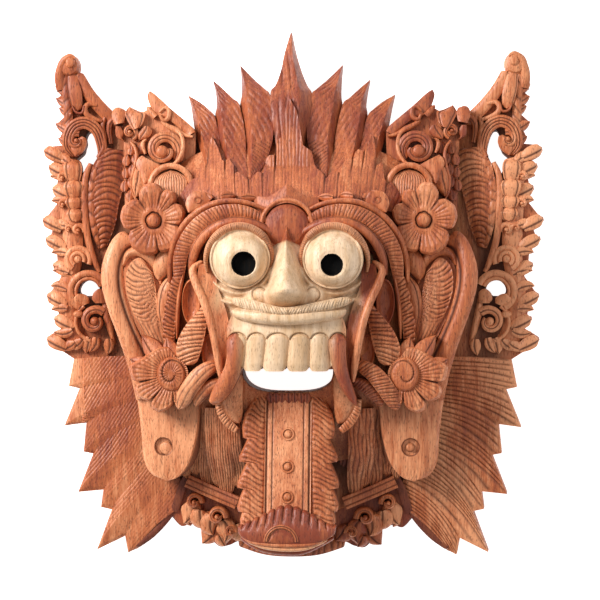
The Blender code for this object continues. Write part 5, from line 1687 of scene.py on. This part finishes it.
        strap(work, spiral((77.4, -23), (15.6, 16), (56, -78), (27, 26), (1.5, 1.5)), None, 1, 2, tone=0.3,
              across=7)
        strap(work, [(69.6, 0, 24, 1.4), (68.4, -14, 26, 3), (64.5, -30, 25, 2.6), (61, -42, 22, 1)], None,
              1.8, 2, tone=0.5, across=9, base=12)
        for x, y, angle, size, bend in ((100, -12, 20, 12, -50), (100, 4, 40, 13, -60),
                                        (96, -30, -30, 14, 50), (88, -38, -50, 12, 40),
                                        (76, -36, -80, 12, 30), (66, -37, -95, 12, 20),
                                        (99, 18, 30, 12, -50), (100, 34, 30, 12, -60),
                                        (100, 56, 30, 12, -60), (100, 76, 30, 12, -50),
                                        (100, 96, 30, 13, -50), (99, 108, 60, 12, -50),
                                        (82, -36, -65, 12, -30), (94, -40, -40, 11, 30)):
            leaf(work, (x, y), angle, size * 1.15, 4.2, (26.5, 23.5), bend, lined(0.6, 0.2, 0.25), fall=1.2,
                 tone=0.4, across=13, base=12.2)
        for k, (reach, bottom, top) in enumerate(FRINGE):
            middle = (bottom + top) / 2
            strap(work, [(reach - 17, middle - 7, 25, 3.6), (reach - 10, middle - 3.2, 25.6, 5.4),
                         (reach - 4.4, middle - 0.4, 24, 5), (reach - 0.8, middle + 0.8, 21.4, 2.6)],
                  lined(0.6, 0.2, 0.35), 1.4, 2, tone=0.3, across=15, step=0.6, base=12.4, ends=(0, 2.5))

    def hair(self, work):
        """One board of hair: combed lines bend down to the edge, straight ones slant on the left."""
        outer = [(95, -54), *HAIR_TIPS[:0:-1], (44, -212)]
        inner = [(30, -52), (28, -67), (27, -70), (25, -84), (24, -88), (22, -100), (21, -103), (19, -118),
                 (17, -122), (15, -130), (13, -134), (8, -150), (6, -155), (6, -166), (9, -178)]
        middle = [(62, -51.5), (64, -69), (60, -71.5), (66, -90), (56, -92), (57, -108), (52, -111),
                  (58, -133), (46, -134.5), (46, -146), (40, -149), (46, -172), (32, -172), (31, -184),
                  (27, -192)]
        rails = [[(x, y, 26) for x, y in inner], [(x, y, 25.4) for x, y in middle],
                 [(x, y, 21.6) for x, y in outer]]

        def combed(share, way, x, y):
            low = grooves(way / 3.35 + 0.12 * np.sin(way * 0.5 + 5 * share), 0.75) * soft(-share, -1, -0.94)
            return -1.25 * low - soft(share, 0.93, 1), 1 - 0.85 * low

        def slanted(share, way, x, y):
            phase = (0.80 * x + 0.60 * y + 1.8 * np.sin(0.03 * x - 0.045 * y)) / 2.4
            strip = soft(x, 86.5, 87.5) * soft(y, -134, -132)
            low = grooves(phase, 0.8) * (1 - strip) * soft(-share, -1, -0.95)
            low = low * (0.45 + 0.55 * np.sin(0.07 * x + 0.05 * y) ** 2) * (1 - 0.55 * soft(-y, 130, 175))
            return -0.55 * low - 1.8 * strip - soft(share, 0.95, 1), 1 - 0.55 * low

        def shade(points):
            x, y = points[..., 0], points[..., 1]
            return 0.46 - 0.3 * soft(x, 82, 96) + 0.2 * np.sin(x * 0.07 + y * 0.03)

        cut, rows, across = (combed, 240, 44) if work.side == 1 else (slanted, 215, 110)
        sheet(work, rails, cut, 12, shade, rows=rows, across=across)
        # Painted shade all over the rim along the hair's inner edge, for the board's dark side wall.
        rim = [(8, -164, 24, 2.6), (14.5, -181, 25, 3.2), (29, -198, 24.5, 3.2), (43.5, -209.5, 22.5, 2.6)]
        strap(work, rim, painted_shade_band(0.4), 1.2, 2, tone=1, across=9, base=9.5, ends=(3, 3))


# The stage

class MASK_OT_stage(bpy.types.Operator):
    """Lays the pale floor, and sets the lights and the camera"""
    bl_idname = "mask.stage"
    bl_label = "Stage"

    def execute(self, context):
        setting = context.scene.mask_stage
        scene = context.scene
        floor = bpy.data.meshes.new("floor")
        reach, depth = 9, -0.0004
        corners = [(x * reach, y * reach, depth) for x, y in ((-1, -1), (1, -1), (1, 1), (-1, 1))]
        floor.from_pydata(corners, [], [(0, 1, 2, 3)])
        stage = bpy.data.objects.new("floor", floor)
        scene.collection.objects.link(stage)
        paper, tree, shader, place = new_material("white_paper")
        fleck = speckle(tree, place, (300, 300, 300))
        tree.links.new(mix_colour(tree, fleck, (0.95, 0.95, 0.95, 1), (0.98, 0.98, 0.98, 1)),
                       shader["Base Color"])
        shader["Roughness"].default_value = 0.9
        shader["Emission Color"].default_value = (1, 1, 1, 1)
        shader["Emission Strength"].default_value = setting.floor_glow
        floor.materials.append(paper)

        target = np.array([0.0076, -0.005, 0.040])
        tilt = math.radians(2.6)
        eye = target + setting.distance * np.array([math.sin(tilt), 0, math.cos(tilt)])
        lens = bpy.data.cameras.new("camera")
        lens.lens = setting.lens
        lens.sensor_width = 36.0
        lens.clip_start = 0.05
        camera = bpy.data.objects.new("camera", lens)
        camera.location = eye
        camera.rotation_euler = (0, tilt, 0)
        scene.collection.objects.link(camera)
        scene.camera = camera

        for title, power, size, spot in (("key", setting.key, 0.55, (-1, 0.62, 0.95)),
                                         ("fill", setting.fill, 1, (1, 0.25, 0.95))):
            lamp = bpy.data.lights.new(title, "AREA")
            lamp.energy = power
            lamp.size = size
            lamp.color = (1, 0.98, 0.96)
            light = bpy.data.objects.new(title, lamp)
            light.location = spot
            x, y, z = spot
            light.rotation_euler = (math.acos(z / math.hypot(x, y, z)), 0, math.atan2(y, x) + math.pi / 2)
            scene.collection.objects.link(light)

        world = bpy.data.worlds.new("surroundings")
        scene.world = world
        world.use_nodes = True
        sky = world.node_tree.nodes["Background"]
        sky.inputs["Color"].default_value = (1, 1, 1, 1)
        sky.inputs["Strength"].default_value = setting.sky
        scene.view_settings.view_transform = "Standard"
        return {"FINISHED"}


class MASK_PT_panel(bpy.types.Panel):
    """Lists the pieces and the stage"""
    bl_idname = "MASK_PT_panel"
    bl_label = "Witch Mask"
    bl_space_type = "VIEW_3D"
    bl_region_type = "UI"
    bl_category = "Mask"

    def draw(self, context):
        for operator in OPERATORS:
            self.layout.operator(operator.bl_idname)
        for group in (context.scene.mask_wood, context.scene.mask_stage):
            box = self.layout.box()
            for title in group.__annotations__:
                box.prop(group, title)


OPERATORS = (MASK_OT_stage, MASK_OT_block, MASK_OT_face, MASK_OT_eyes, MASK_OT_teeth, MASK_OT_brows,
             MASK_OT_cheeks, MASK_OT_crown, MASK_OT_hair, MASK_OT_panels, MASK_OT_ears, MASK_OT_flowers,
             MASK_OT_tongue, MASK_OT_collar, MASK_OT_wings)
CLASSES = (MaskWood, MaskStage, *OPERATORS, MASK_PT_panel)


def register():
    for kind in CLASSES:
        bpy.utils.register_class(kind)
    bpy.types.Scene.mask_wood = bpy.props.PointerProperty(type=MaskWood)
    bpy.types.Scene.mask_stage = bpy.props.PointerProperty(type=MaskStage)


def unregister():
    del bpy.types.Scene.mask_stage
    del bpy.types.Scene.mask_wood
    for kind in reversed(CLASSES):
        bpy.utils.unregister_class(kind)


def main():
    register()
    for operator in OPERATORS:
        getattr(bpy.ops.mask, operator.bl_idname.split(".")[1])()


if __name__ == "__main__":
    main()
